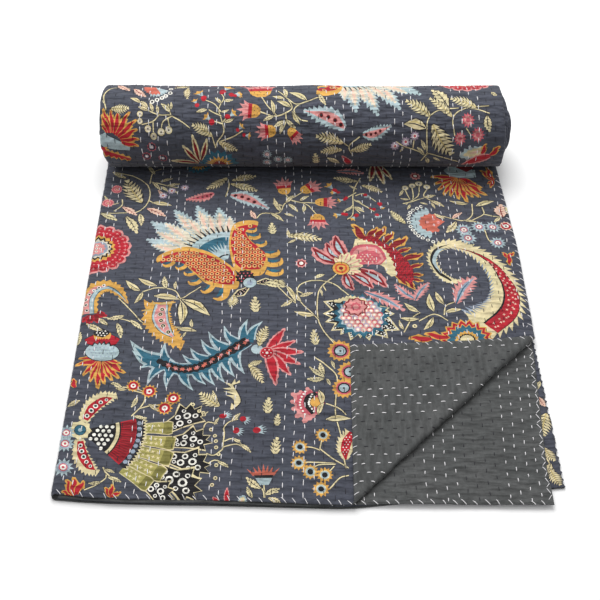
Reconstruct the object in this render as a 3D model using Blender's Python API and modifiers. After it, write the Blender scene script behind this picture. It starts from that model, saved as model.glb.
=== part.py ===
"""Kantha quilt, folded in four across its width and rolled up from its far end.

Run with: blender --background --python part.py

The quilt is two cloths sewn together by rows of hand stitching: a printed face and a plain grey backing.
It is folded in half twice, so four layers lie on each other with the print outside, and the far part is
rolled up on top towards the front. The top layer's near right corner is turned back along a diagonal
crease, which shows the backing. Metres, +Z up, the front at -Y. The origin is on the underside, in the
middle of the folded width.
"""

import math

import bmesh
import bpy
import numpy as np
from mathutils import Vector

# The folded quilt.
STACK_WIDTH = 0.686  # a quarter of the quilt's 2.743 m
NEAR_Y = -0.377  # where the near hem would lie if it were straight
ROLL_Y = 0.311  # where the cloth leaves the floor and winds up
CLOTH = 0.0010  # thickness of each of the two cloths
PLY_GAP = 0.0003  # between face and backing, along a row of stitches
PUFF = 0.0004  # how far a cloth swells between two rows
LAYER_GAP = 0.0005  # between one layer of the quilt and the next
ROW_PITCH = 0.0143  # from one row of stitches to the next
LAYERS = (1, 2, 3, 4)  # from the top down
ROWED_LAYERS = {"face": (1,), "backing": (1, 2)}  # the layers in which a cloth's rows show

# Each layer's uneven near edge as (x, how far behind NEAR_Y).
NEAR_EDGE = {
    1: ((-0.343, 0.0105), (-0.29, 0.004), (-0.22, 0.0015), (-0.13, 0.001), (0.05, -0.0065), (0.343, -0.005)),
    2: ((-0.343, 0.007), (-0.25, -0.001), (-0.13, -0.002), (0.02, -0.007), (0.10, -0.003), (0.343, -0.005)),
    3: ((-0.343, 0.007), (-0.25, 0.000), (-0.13, -0.001), (0.05, -0.006), (0.343, 0.024)),
    4: ((-0.343, 0.006), (-0.29, 0.001), (-0.20, -0.002), (-0.13, -0.0027), (0.05, -0.008), (0.343, 0.024)),
}
# Each layer's uneven right edge as (distance from NEAR_Y, how far past half the width).
RIGHT_EDGE = {
    1: ((0.0, -0.006), (0.30, 0.011), (0.47, 0.012), (0.69, 0.003)),
    2: ((0.0, -0.009), (0.05, -0.0095), (0.25, 0.005), (0.69, 0.004)),
    3: ((0.0, 0.011), (0.27, 0.0095), (0.69, 0.004)),
    4: ((0.0, 0.011), (0.27, 0.0095), (0.69, 0.004)),
}
LEFT_EDGE = ((0.0, 0.0145), (0.69, 0.0015))  # the same for the left fold, inwards
INNER_FOLD_INSET = 0.007  # the inner left fold stops this far inside the outer one

# The turned-back corner. The crease runs from the near hem to the right hem.
CREASE_START = Vector((0.062, NEAR_Y - 0.009))
CREASE_END = Vector((0.354, NEAR_Y + 0.283))
CREASE_RADIUS_START = 0.0026
CREASE_RADIUS_END = 0.0050
FLAP_REST_RADIUS = 0.0019  # half the height between the layer and the flap lying flat on it
FLAP_SETTLE = 0.030  # distance over which the flap comes down to rest

# The roll.
ROLL_RADIUS = 0.0641  # at the bottom, where the last turn meets the flat stack
ROLL_WIDTH = 0.677
ROLL_STEPS = 18  # facets in a turn
ROLL_TURNS = 6  # turns that show at the ends
CORE_RADIUS = 0.005
TELESCOPE = 0.020  # how far the core stands out to the right
TURN_BULGE = 0.004  # how far a turn's edge stands out past the groove beside it
ROLL_LUMPS = ((0.0009, 0.31, 1.0), (0.0005, 0.17, 0.4))  # height, wavelength, phase

ARC_STEPS = 4  # facets in a fold's half turn
ALONG_STATIONS = (0.0, 0.045, 0.16, 0.30, 0.52, 0.76, 1.0)  # shares of the flat length
PLAIN_SPANS = 7  # facets across a layer with no rows
SWELL = 0.05  # how much the layers loosen and tighten over the flat part
SMOOTH_ANGLE = math.radians(40)

PLY_STEP = CLOTH + PLY_GAP
LAYER_STEP = 2 * CLOTH + PLY_GAP + LAYER_GAP


def cloth_height(kind, layer):
    """Height of a cloth's middle in a layer. The print faces outwards, so it is on top in layers 1 and 3."""
    floor = (4 - layer) * LAYER_STEP
    if layer == 1:
        floor += 2 * PUFF  # its backing swells down, and the second layer's swells up
    face_up = layer in (1, 3)
    upper = (kind == "face") == face_up
    return floor + CLOTH / 2 + (PLY_STEP if upper else 0.0)


def layer_height(layer):
    return (cloth_height("face", layer) + cloth_height("backing", layer)) / 2


STACK_TOP = cloth_height("face", 1) + CLOTH / 2 + PUFF
ROLL_HEIGHT = STACK_TOP + PLY_GAP + PUFF + ROLL_RADIUS  # the roll's middle
ROLL_PITCH = ROLL_HEIGHT - ROLL_RADIUS  # thickness of the turn that comes up from the floor


def lerp(a, b, share):
    return a + (b - a) * share


def row_positions(first, last):
    """x along a layer from first to last, two facets to a row, each with its swelling from 0 to 1."""
    count = round(abs(last - first) / ROW_PITCH)
    return [(lerp(first, last, i / max(2 * count, 1)), float(i % 2)) for i in range(2 * count + 1)]


def plain_positions(first, last):
    return [(lerp(first, last, i / PLAIN_SPANS), 0.0) for i in range(PLAIN_SPANS + 1)]


def fold_points(x, upper, lower, side, layers):
    """The inside points of a half turn between two heights. side is -1 where the fold is at the left."""
    middle, radius = (upper + lower) / 2, abs(upper - lower) / 2
    turn = 1 if upper > lower else -1
    points = []
    for step in range(1, ARC_STEPS):
        angle = math.pi * step / ARC_STEPS
        layer = layers[0] if step <= ARC_STEPS / 2 else layers[1]
        points.append((layer, x + side * radius * math.sin(angle), middle + turn * radius * math.cos(angle)))
    return points


def section(kind, rows_from):
    """The cloth's path through the stack as (layer, x, height), from the top layer's right hem round the
    outer left fold, along the bottom, round the right fold, back to the inner left fold and out to the
    second layer's right hem. Rows are raised to the right of rows_from in the layers that show them."""
    heights = {layer: cloth_height(kind, layer) for layer in LAYERS}
    right = STACK_WIDTH / 2
    outer_left = -right + (cloth_height("face", 1) - cloth_height("face", 4)) / 2
    inner_left = -right + INNER_FOLD_INSET + LAYER_STEP
    right_fold = right - (cloth_height("face", 3) - cloth_height("face", 4)) / 2
    swell = PUFF if kind == "face" else -PUFF

    def free_half(layer, left):
        start = max(left, rows_from) if layer in ROWED_LAYERS[kind] else right
        outward = swell if layer == 1 else -swell
        points = row_positions(right, start)
        if start > left:
            points += plain_positions(start, left)[1:]
        return [(layer, x, heights[layer] + outward * up) for x, up in points]

    path = free_half(1, outer_left)
    path += fold_points(outer_left, heights[1], heights[4], -1, (1, 4))
    path += [(4, x, heights[4]) for x, _ in plain_positions(outer_left, right_fold)]
    path += fold_points(right_fold, heights[4], heights[3], 1, (4, 3))
    path += [(3, x, heights[3]) for x, _ in plain_positions(right_fold, inner_left)]
    path += fold_points(inner_left, heights[3], heights[2], -1, (3, 2))
    return path + free_half(2, inner_left)[::-1]


def on_edge(edge, place):
    """Reads an uneven edge at a place along it."""
    places, offsets = zip(*edge)
    return float(np.interp(place, places, offsets))


def placed(layer, x, z, along):
    """A point of the flat stack in its uneven outline. along runs from 0 at the near edge to 1 at the roll."""
    across = min(max(x / STACK_WIDTH + 0.5, 0.0), 1.0)
    near = NEAR_Y + on_edge(NEAR_EDGE[layer], x)
    y = lerp(near, ROLL_Y - PLY_GAP, along)
    left_shift, right_shift = on_edge(LEFT_EDGE, y - NEAR_Y), on_edge(RIGHT_EDGE[layer], y - NEAR_Y)
    return Vector((x + lerp(left_shift, right_shift, across), y, z))


def crease_frame():
    """The crease's start, its direction, and the direction towards the corner that is turned back."""
    direction = (CREASE_END - CREASE_START).normalized()
    return CREASE_START, direction, Vector((direction.y, -direction.x))


def crease_radius(along):
    length = (CREASE_END - CREASE_START).length
    return lerp(CREASE_RADIUS_START, CREASE_RADIUS_END, min(max(along / length, 0.0), 1.0))


def turned_back(point):
    """Where a point of the top layer goes when the corner is folded over the crease."""
    start, direction, outward = crease_frame()
    flat = point.xy - start
    along, past = flat.dot(direction), flat.dot(outward)
    if past <= 0:
        return point
    radius = crease_radius(along)
    middle = layer_height(1)
    inner = radius - (point.z - middle)
    bend = min(past / radius, math.pi)
    beyond = max(past - math.pi * radius, 0.0)
    loft = 2 * (radius - FLAP_REST_RADIUS) * (math.exp(-beyond / FLAP_SETTLE) - 1)
    place = start + direction * along + outward * (inner * math.sin(bend) - beyond)
    return Vector((place.x, place.y, middle + radius - inner * math.cos(bend) + (loft if beyond else 0.0)))


def crease_cuts():
    """Lines across the top layer, each as a point and a normal, along which the turned corner bends."""
    start, direction, outward = crease_frame()
    end = start + direction * (CREASE_END - CREASE_START).length
    bends = [math.pi * step / ARC_STEPS for step in range(ARC_STEPS + 1)]
    lines = [(bend * CREASE_RADIUS_START, bend * CREASE_RADIUS_END) for bend in bends]
    lines += [(lines[-1][0] + out, lines[-1][1] + out) for out in (0.015, 0.05)]
    cuts = []
    for near_offset, far_offset in lines:
        near, far = start + outward * near_offset, end + outward * far_offset
        run = (far - near).normalized()
        cuts.append((near.to_3d(), Vector((run.y, -run.x, 0.0))))
    return cuts


def swollen(point):
    """The stack breathes a little, more towards its top, while its underside stays flat."""
    wave = math.sin(point.x * 9 + 0.5) * math.cos(point.y * 7)
    lift = 1 + SWELL * wave * (1 - max(point.y / ROLL_Y, 0.0) ** 4)
    point.z = CLOTH / 2 + (point.z - CLOTH / 2) * lift
    return point


def new_object(name, mesh, collection, colour, roughness):
    material = bpy.data.materials.new(name)
    material.use_nodes = True
    shader = material.node_tree.nodes["Principled BSDF"]
    shader.inputs["Base Color"].default_value = (*colour, 1.0)
    shader.inputs["Roughness"].default_value = roughness
    shader.inputs["Metallic"].default_value = 0.0
    mesh.materials.append(material)
    mesh.shade_smooth()
    mesh.set_sharp_from_angle(angle=SMOOTH_ANGLE)
    obj = bpy.data.objects.new(name, mesh)
    collection.objects.link(obj)
    return obj


def folded_cloth(name, kind, rows_from, collection, colour, roughness):
    """One cloth of the flat part: a sheet laid back and forth through the stack, its corner turned back."""
    path = section(kind, rows_from)
    across, along = len(path) - 1, len(ALONG_STATIONS) - 1
    sheet = bmesh.new()
    bmesh.ops.create_grid(sheet, x_segments=across, y_segments=along, size=0.5)
    for vert in sheet.verts:
        layer, x, z = path[round((vert.co.x + 0.5) * across)]
        vert.co = placed(layer, x, z, ALONG_STATIONS[round((vert.co.y + 0.5) * along)])
    under_top = (cloth_height(kind, 1) + cloth_height(kind, 2)) / 2
    for point, normal in crease_cuts():
        faces = [f for f in sheet.faces if all(v.co.z > under_top for v in f.verts)]
        edges = {e for f in faces for e in f.edges}
        verts = {v for f in faces for v in f.verts}
        bmesh.ops.bisect_plane(sheet, geom=[*faces, *edges, *verts], dist=1e-6, plane_co=point, plane_no=normal)
    for vert in sheet.verts:
        if vert.co.z > under_top:
            vert.co = turned_back(vert.co)
        vert.co = swollen(vert.co)
    mesh = bpy.data.meshes.new(name)
    sheet.to_mesh(mesh)
    sheet.free()
    obj = new_object(name, mesh, collection, colour, roughness)
    shell = obj.modifiers.new("Cloth thickness", "SOLIDIFY")
    shell.thickness = CLOTH
    shell.offset = 0.0
    return obj


def roll_point(angle, radius, x):
    """A point round the roll's axis. The angle starts at the floor and runs up the back."""
    return Vector((x, ROLL_Y + radius * math.sin(angle), ROLL_HEIGHT - radius * math.cos(angle)))


def roll_radius(step):
    """The groove between two turns, which winds in by one pitch each turn."""
    return ROLL_RADIUS + ROLL_PITCH * (1 - step / ROLL_STEPS)


def roll_surface_point(step, x, up):
    """A point of the outermost turn: swollen between rows, a little lumpy, and flat where it rests."""
    angle = 2 * math.pi * step / ROLL_STEPS
    lumps = sum(height * math.sin(2 * math.pi * x / wave + phase) for height, wave, phase in ROLL_LUMPS)
    radius = roll_radius(step) + up * PUFF + lumps * math.sin(angle / 2) ** 2
    point = roll_point(angle, radius, x)
    if step <= 1:
        point.z = 0.0
    return point


def roll_end(bm, edge_verts, side):
    """Closes one end of the roll with the spiral edge of its turns. side is 1 at the right."""
    steps = ROLL_STEPS * ROLL_TURNS

    def end_x(step, bulge):
        share = min(step / steps, 1.0)
        return side * (ROLL_WIDTH / 2 - TURN_BULGE + bulge) + TELESCOPE * share * (2 - share)

    def spiral_radius(step):
        inner = (step - ROLL_STEPS) / (steps - ROLL_STEPS)
        return roll_radius(step) if step <= ROLL_STEPS else lerp(ROLL_RADIUS, CORE_RADIUS, inner)

    grooves = list(edge_verts)
    for step in range(ROLL_STEPS + 1, steps + 1):
        angle = 2 * math.pi * step / ROLL_STEPS
        grooves.append(bm.verts.new(roll_point(angle, spiral_radius(step), end_x(step, 0.0))))
    crests = []
    for step in range(steps - ROLL_STEPS + 1):
        angle = 2 * math.pi * step / ROLL_STEPS
        radius = (spiral_radius(step) + spiral_radius(step + ROLL_STEPS)) / 2
        crests.append(bm.verts.new(roll_point(angle, radius, end_x(step + ROLL_STEPS / 2, TURN_BULGE))))
    for step in range(steps - ROLL_STEPS):
        bm.faces.new((grooves[step], crests[step], crests[step + 1], grooves[step + 1]))
        inner, next_inner = grooves[step + ROLL_STEPS], grooves[step + ROLL_STEPS + 1]
        bm.faces.new((crests[step], inner, next_inner, crests[step + 1]))
    core = bm.verts.new(roll_point(0.0, 0.0, end_x(steps, -TURN_BULGE)))
    rim = [*grooves[steps - ROLL_STEPS :], crests[-1]]
    for first, second in zip(rim, rim[1:] + rim[:1]):
        bm.faces.new((core, first, second))
    return crests[0]


def rolled_end(name, collection, colour, roughness):
    """The rolled part as one solid: the outermost turn, with its rows, and the spiral of turns at its ends."""
    bm = bmesh.new()
    end = ROLL_WIDTH / 2 - TURN_BULGE
    across = row_positions(-end, end)
    turn = []
    for step in range(ROLL_STEPS + 1):
        turn.append([bm.verts.new(roll_surface_point(step, x, up)) for x, up in across])
    for here, there in zip(turn, turn[1:]):
        for i in range(len(across) - 1):
            bm.faces.new((here[i], here[i + 1], there[i + 1], there[i]))
    left_crest = roll_end(bm, [row[0] for row in turn], -1)
    right_crest = roll_end(bm, [row[-1] for row in turn], 1)
    # The step face, where the flat stack runs into the roll.
    bm.faces.new([*turn[0], right_crest, *reversed(turn[-1]), left_crest])
    bmesh.ops.recalc_face_normals(bm, faces=bm.faces)
    mesh = bpy.data.meshes.new(name)
    bm.to_mesh(mesh)
    bm.free()
    return new_object(name, mesh, collection, colour, roughness)


def main():
    for obj in list(bpy.data.objects):
        bpy.data.objects.remove(obj)
    collection = bpy.data.collections.new("Kantha quilt")
    bpy.context.scene.collection.children.link(collection)
    folded_cloth("printed_face", "face", -STACK_WIDTH, collection, (0.10, 0.11, 0.14), 0.9)
    folded_cloth("grey_backing", "backing", CREASE_START.x - ROW_PITCH, collection, (0.09, 0.10, 0.10), 0.9)
    rolled_end("rolled_end", collection, (0.10, 0.11, 0.14), 0.9)


main()
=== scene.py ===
"""Looks of the kantha quilt: block-printed cotton and plain grey cotton, quilted together by hand.

The quilt is described flat, by a across and b along. a runs from the top layer's right hem round the folds
to the second layer's right hem, and b from the near hem to the hem inside the roll. on_quilt() folds, turns
back and rolls such flat points the way part.py does, so every wrinkle, stitch and printed flower is laid
out flat first. Metres in the frame of the CAD; the print is drawn in millimetres.
"""

import math

import bpy
import numpy as np
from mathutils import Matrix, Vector
from mathutils.geometry import delaunay_2d_cdt


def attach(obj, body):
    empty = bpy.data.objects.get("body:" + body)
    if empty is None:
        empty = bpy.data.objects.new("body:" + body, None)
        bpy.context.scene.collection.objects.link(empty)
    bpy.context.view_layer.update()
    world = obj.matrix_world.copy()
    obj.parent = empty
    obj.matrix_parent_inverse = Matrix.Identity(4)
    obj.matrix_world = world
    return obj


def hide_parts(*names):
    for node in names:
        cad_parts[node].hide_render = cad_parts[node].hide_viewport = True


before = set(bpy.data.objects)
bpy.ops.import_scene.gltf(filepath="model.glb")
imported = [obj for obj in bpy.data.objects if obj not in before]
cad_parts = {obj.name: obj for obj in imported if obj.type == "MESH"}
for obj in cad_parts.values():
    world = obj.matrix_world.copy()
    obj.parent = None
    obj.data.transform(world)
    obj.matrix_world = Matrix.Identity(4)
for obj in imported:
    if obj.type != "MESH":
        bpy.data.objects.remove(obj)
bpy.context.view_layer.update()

# ---------------------------------------------------------------- sizes, as in part.py
STACK_WIDTH = 0.686
NEAR_Y = -0.377
ROLL_Y = 0.311
CLOTH = 0.0010
PLY_GAP = 0.0003
PUFF = 0.0004
LAYER_GAP = 0.0005
ROW_PITCH = 0.0143
INNER_FOLD_INSET = 0.007
CREASE_START = np.array((0.062, NEAR_Y - 0.009))
CREASE_END = np.array((0.354, NEAR_Y + 0.283))
CREASE_RADII = (0.0026, 0.0050)
FLAP_REST_RADIUS = 0.0019
FLAP_SETTLE = 0.030
ROLL_RADIUS = 0.0641
ROLL_WIDTH = 0.677
CORE_RADIUS = 0.005
TELESCOPE = 0.020
ROLL_LUMPS = ((0.0009, 0.31, 1.0), (0.0005, 0.17, 0.4))
SWELL = 0.05
CLOTH_REST, THREAD_REST = 0.0007, 0.0002  # how far the undersides stay above the floor
HEM_ROUND = 0.0016  # the two cloths close over this width at a hem

# Uneven edges as in part.py: near edges as (x, offset), the others as (distance from NEAR_Y, offset).
NEAR_EDGE = (
    ((-0.343, 0.0105), (-0.29, 0.004), (-0.22, 0.0015), (-0.13, 0.001), (0.05, -0.0065), (0.343, -0.005)),
    ((-0.343, 0.007), (-0.25, -0.001), (-0.13, -0.002), (0.02, -0.007), (0.10, -0.003), (0.343, -0.005)),
    ((-0.343, 0.007), (-0.25, 0.000), (-0.13, -0.001), (0.05, -0.006), (0.343, 0.024)),
    ((-0.343, 0.006), (-0.29, 0.001), (-0.20, -0.002), (-0.13, -0.0027), (0.05, -0.008), (0.343, 0.024)),
)
RIGHT_EDGE = (
    ((0.0, -0.006), (0.30, 0.011), (0.47, 0.012), (0.69, 0.003)),
    ((0.0, -0.009), (0.05, -0.0095), (0.25, 0.005), (0.69, 0.004)),
    ((0.0, 0.011), (0.27, 0.0095), (0.69, 0.004)),
    ((0.0, 0.011), (0.27, 0.0095), (0.69, 0.004)),
)
LEFT_EDGE = ((0.0, 0.0145), (0.69, 0.0015))
EDGE_BLUR = 0.02  # the kinks of those edges are eased over this distance

# ---------------------------------------------------------------- the quilt's own sizes
QUILT_WIDTH, QUILT_LENGTH = 2.743, 2.286
FLAT_LENGTH = ROLL_Y - NEAR_Y  # the part that lies flat; the rest is rolled
LAYER_STEP = 2 * CLOTH + PLY_GAP + LAYER_GAP
SURFACE = CLOTH + PLY_GAP / 2  # from the quilt's middle to either outside
# The layers' middles, from the top layer down.
LAYER_Z = [below * LAYER_STEP + CLOTH + PLY_GAP / 2 for below in (3, 2, 1, 0)]
LAYER_Z[0] += 2 * PUFF
STACK_TOP = LAYER_Z[0] + SURFACE + PUFF
ROLL_HEIGHT = STACK_TOP + PLY_GAP + PUFF + ROLL_RADIUS
ROLL_PITCH = ROLL_HEIGHT - ROLL_RADIUS
HALF = STACK_WIDTH / 2
FOLD_RADIUS = (LAYER_Z[0] - LAYER_Z[3]) / 2  # outer left fold
INNER_RADIUS = LAYER_STEP / 2  # right fold and inner left fold
OUTER_LEFT = -HALF + FOLD_RADIUS + SURFACE - CLOTH / 2
INNER_LEFT = -HALF + INNER_FOLD_INSET + LAYER_STEP
RIGHT_FOLD = HALF - INNER_RADIUS - SURFACE + CLOTH / 2

# Where each stretch of the section ends: the layers 1, 4, 3 and 2, with a fold between each two.
STRETCHES = np.cumsum(
    [
        HALF - OUTER_LEFT, math.pi * FOLD_RADIUS, RIGHT_FOLD - OUTER_LEFT, math.pi * INNER_RADIUS,
        RIGHT_FOLD - INNER_LEFT, math.pi * INNER_RADIUS, HALF - INNER_LEFT,
    ]
)
LAYER_1, FOLD_1, LAYER_4, FOLD_2, LAYER_3, FOLD_3, LAYER_2 = STRETCHES
ACROSS = float(STRETCHES[-1])


# ---------------------------------------------------------------- numbers that look random but never change
LATTICE = np.random.default_rng(11).uniform(-1, 1, (64, 64))


def noise(u, v):
    """Smooth value noise from -1 to 1, one bump to a unit."""
    i, j = np.floor(u).astype(int), np.floor(v).astype(int)
    s, t = u - i, v - j
    s, t = s * s * (3 - 2 * s), t * t * (3 - 2 * t)
    here, there = LATTICE[i % 64, j % 64], LATTICE[(i + 1) % 64, j % 64]
    above, across = LATTICE[i % 64, (j + 1) % 64], LATTICE[(i + 1) % 64, (j + 1) % 64]
    return (here * (1 - s) + there * s) * (1 - t) + (above * (1 - s) + across * s) * t


# ---------------------------------------------------------------- folding and rolling
def eased(edge):
    """An uneven edge as a function of the place along it, its kinks eased."""
    places, offsets = (np.array(column) for column in zip(*edge))
    fine = np.linspace(places[0] - 0.1, places[-1] + 0.1, 800)
    rough = np.interp(fine, places, offsets)
    reach = np.arange(-60, 61) * (fine[1] - fine[0])
    kernel = np.exp(-((reach / EDGE_BLUR) ** 2))
    padded = np.pad(rough, 60, mode="edge")
    smooth = np.convolve(padded, kernel / kernel.sum(), mode="valid")
    return lambda place: np.interp(place, fine, smooth)


near_edges = [eased(edge) for edge in NEAR_EDGE]
right_edges = [eased(edge) for edge in RIGHT_EDGE]
left_edge = eased(LEFT_EDGE)


def smooth_step(value, low, high):
    """Rises softly from 0 at low to 1 at high."""
    share = np.clip((value - low) / (high - low), 0, 1)
    return share * share * (3 - 2 * share)


def section(a, out):
    """x, z and the four layers' weights of points at a along the section and out from its middle."""
    x, z = np.zeros_like(a), np.zeros_like(a)
    weights = np.zeros((4, *a.shape))
    starts = np.concatenate(([0.0], STRETCHES[:-1]))
    for stretch, layer, x_start, heading, up in (
        (0, 0, HALF, -1, 1), (2, 3, OUTER_LEFT, 1, -1), (4, 2, RIGHT_FOLD, -1, 1), (6, 1, INNER_LEFT, 1, -1)
    ):
        here = (a >= starts[stretch]) & (a <= STRETCHES[stretch])
        here |= (a < 0) if stretch == 0 else (a > ACROSS) if stretch == 6 else False
        x[here] = x_start + heading * (a[here] - starts[stretch])
        z[here] = LAYER_Z[layer] + up * out[here]
        weights[layer][here] = 1
    folds = ((1, 0, 3, OUTER_LEFT, -1, 1), (3, 3, 2, RIGHT_FOLD, 1, 1), (5, 2, 1, INNER_LEFT, -1, -1))
    for stretch, first, second, x_centre, side, outward in folds:
        here = (a > starts[stretch]) & (a < STRETCHES[stretch])
        share = (a[here] - starts[stretch]) / (STRETCHES[stretch] - starts[stretch])
        middle, half = (LAYER_Z[first] + LAYER_Z[second]) / 2, (LAYER_Z[first] - LAYER_Z[second]) / 2
        radius = abs(half) + outward * out[here]
        x[here] = x_centre + side * radius * np.sin(math.pi * share)
        z[here] = middle + math.copysign(1, half) * radius * np.cos(math.pi * share)
        weights[first][here], weights[second][here] = 1 - share, share
    return x, z, weights


def turned_back(a, x, y, z):
    """Folds the top layer's near right corner over the crease."""
    direction = (CREASE_END - CREASE_START) / np.linalg.norm(CREASE_END - CREASE_START)
    outward = np.array((direction[1], -direction[0]))
    flat_x, flat_y = x - CREASE_START[0], y - CREASE_START[1]
    along = flat_x * direction[0] + flat_y * direction[1]
    past = flat_x * outward[0] + flat_y * outward[1]
    share = np.clip(along / np.linalg.norm(CREASE_END - CREASE_START), 0, 1)
    radius = CREASE_RADII[0] + (CREASE_RADII[1] - CREASE_RADII[0]) * share
    inner = radius - (z - LAYER_Z[0])
    bend = np.clip(past / radius, 0, math.pi)
    beyond = np.maximum(past - math.pi * radius, 0)
    loft = 2 * (radius - FLAP_REST_RADIUS) * (np.exp(-beyond / FLAP_SETTLE) - 1)
    reach = inner * np.sin(bend) - beyond
    turned = (a < LAYER_1) & (past > 0)
    x = np.where(turned, CREASE_START[0] + along * direction[0] + reach * outward[0], x)
    y = np.where(turned, CREASE_START[1] + along * direction[1] + reach * outward[1], y)
    return x, y, np.where(turned, LAYER_Z[0] + radius - inner * np.cos(bend) + loft, z)


# The spiral: angle from the floor up the back, the radius of its outside and the length wound so far.
INNER_TURNS = 6.45
ANGLES = np.linspace(0, 2 * math.pi * (1 + INNER_TURNS), 6000)
INNER_PITCH = (ROLL_RADIUS - CORE_RADIUS) / INNER_TURNS
RADII = np.where(
    ANGLES <= 2 * math.pi,
    ROLL_RADIUS + ROLL_PITCH * (1 - ANGLES / (2 * math.pi)),
    ROLL_RADIUS - INNER_PITCH * (ANGLES / (2 * math.pi) - 1),
)
PRESSED = np.interp(ANGLES, [0, 2 * math.pi, 3 * math.pi], [1.0, 0.93, 0.96 * INNER_PITCH / STACK_TOP])
WOUND = np.concatenate(([0], np.cumsum((RADII - PRESSED * STACK_TOP / 2)[:-1] * np.diff(ANGLES))))
WOUND *= (QUILT_LENGTH - FLAT_LENGTH) / WOUND[-1]


def rolled_up(x, z, wound, ends):
    """Winds points of the flat stack round the roll's middle. ends runs from -1 at the left to 1."""
    angle = np.interp(wound, WOUND, ANGLES)
    lumps = sum(height * np.sin(2 * math.pi * x / wave + phase) for height, wave, phase in ROLL_LUMPS)
    outer = np.interp(angle, ANGLES, RADII) + lumps * np.sin(np.minimum(angle, 2 * math.pi) / 2) ** 2
    radius = outer - z * np.interp(angle, ANGLES, PRESSED)
    share = np.clip(angle / ANGLES[-1], 0, 1)
    drawn_in = 1 + (ROLL_WIDTH / (STACK_WIDTH + 0.003) - 1) * smooth_step(angle, 0, 1.2)
    uneven = 0.0035 * noise(angle * 0.9, ends * 3 + 20) * np.abs(ends) ** 6 * smooth_step(angle, 0.3, 2.0)
    settled = 1 - smooth_step(angle, 0, 1.2)
    x = (x - 0.001 * (1 - settled)) * drawn_in + TELESCOPE * share * (2 - share) + uneven
    return x, ROLL_Y + radius * np.sin(angle), ROLL_HEIGHT - radius * np.cos(angle)


def on_quilt(a, b, out):
    """Where flat points go: a across, b along, out from the middle of the quilt towards the print."""
    a, b, out = np.broadcast_arrays(*(np.asarray(value, dtype=float) for value in (a, b, out)))
    x, z, weights = section(a, out)
    flat = np.minimum(b, FLAT_LENGTH) / FLAT_LENGTH
    near = NEAR_Y + sum(weight * edge(x) for weight, edge in zip(weights, near_edges))
    y = near + (ROLL_Y - near) * flat
    across = np.clip(x / STACK_WIDTH + 0.5, 0, 1)
    right = sum(weight * edge(y - NEAR_Y) for weight, edge in zip(weights, right_edges))
    x = x + left_edge(y - NEAR_Y) * (1 - across) + right * across
    x, y, z = turned_back(a, x, y, z)
    wave = np.sin(x * 9 + 0.5) * np.cos(y * 7)
    lift = 1 + SWELL * wave * (1 - np.maximum(y / ROLL_Y, 0) ** 4)
    z = CLOTH / 2 + (z - CLOTH / 2) * lift
    turned_x, turned_y, turned_z = rolled_up(x, z, b - FLAT_LENGTH, np.clip(x / HALF, -1, 1))
    in_roll = b > FLAT_LENGTH
    turned, lying = np.stack((turned_x, turned_y, turned_z), axis=-1), np.stack((x, y, z), axis=-1)
    return np.where(in_roll[..., None], turned, lying)


# ---------------------------------------------------------------- rows of stitches and the relief they pull
ROW_COUNT = round(ACROSS / ROW_PITCH)
ROW_STEP = ACROSS / ROW_COUNT
# White rows come four together: up to which row, first white row, and rows from one four to the next.
WHITE_ROWS = ((18, 6, 8.0), (0.5 * ROW_COUNT, 8, 7.43), (ROW_COUNT, ROW_COUNT - 4, 8.0))
STITCH, STITCH_EVERY = 0.0103, 0.0178  # the gaps between stitches are the stitches of the grey side
ROW_WANDER = 0.0006  # a row strays up to twice this far from its straight line


def row_is_white(row):
    """Whether a row is sewn in white, not in dark thread."""
    first, every = next((first, every) for last, first, every in WHITE_ROWS if row <= last)
    return (row - first) % every < 3.5


def stitch_start(row):
    """Where a row's first stitch starts, which differs from row to row."""
    return 0.006 + STITCH_EVERY * ((row * 0.377) % 1)


random = np.random.default_rng(5)
# Single troughs of the cloth: middle across and along, reach and width, each between these two sizes.
TROUGH_SIZES = ((0, ACROSS), (0.02, 1.1), (0.02, 0.055), (0.0012, 0.0024))
TROUGHS = [[random.uniform(*sizes) for sizes in TROUGH_SIZES] for _ in range(330)]
TROUGH_DEPTH = 0.0013


def wrinkles(a, b):
    """Height of the whole quilt above its smooth form: soft swells, crosswise ripples and longer troughs."""
    swells = 0.0008 * noise(a / 0.11, b / 0.09) + 0.0004 * noise(a / 0.05 + 9, b / 0.03)
    ripples = 0.0008 * noise(a / 0.030 + 3, b / 0.0085) + 0.0004 * noise(a / 0.015, b / 0.006 + 7)
    total = swells + ripples
    for a0, b0, reach, width in TROUGHS:
        near = (np.abs(a - a0) < reach) & (np.abs(b - b0) < 5 * width + 0.008)
        if near.any():
            da, db = a[near] - a0, b[near] - b0
            bent = db - 0.003 * np.sin(da / reach * 2 + a0 * 50)
            total[near] -= TROUGH_DEPTH * np.exp(-((bent / width) ** 2)) * (1 - (da / reach) ** 2) ** 2
    return total


def puffs(a, b):
    """How far a cloth swells outwards between its rows of stitches."""
    from_row = np.abs((a / ROW_STEP + 0.5) % 1 - 0.5) * 2
    swell = from_row ** 0.75 * (0.75 + 0.35 * noise(a / 0.02, b / 0.0085 + 5) * ripple_room(a, b))
    return PUFF * 1.6 * swell


def edge_closing(a, b):
    """0 at a hem and 1 inside, where the two cloths lie their full distance apart."""
    to_hem = np.minimum(np.minimum(a, ACROSS - a), b)
    round_off = np.clip(to_hem / HEM_ROUND, 0, 1)
    return np.sqrt(1 - (1 - round_off) ** 2)


def cloth_points(a, b, side):
    """Outside of the printed cloth, side 1, or of the grey one, side -1."""
    shown = np.where(b > FLAT_LENGTH, 0.8, 1.0)
    out = side * (SURFACE + puffs(a, b)) * edge_closing(a, b) + wrinkles(a, b) * shown * ripple_room(a, b)
    return resting(on_quilt(a, b, out), CLOTH_REST)


def resting(points, height):
    """Presses what would sink into the floor flat on it."""
    points[..., 2] = np.maximum(points[..., 2], height)
    return points


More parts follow.
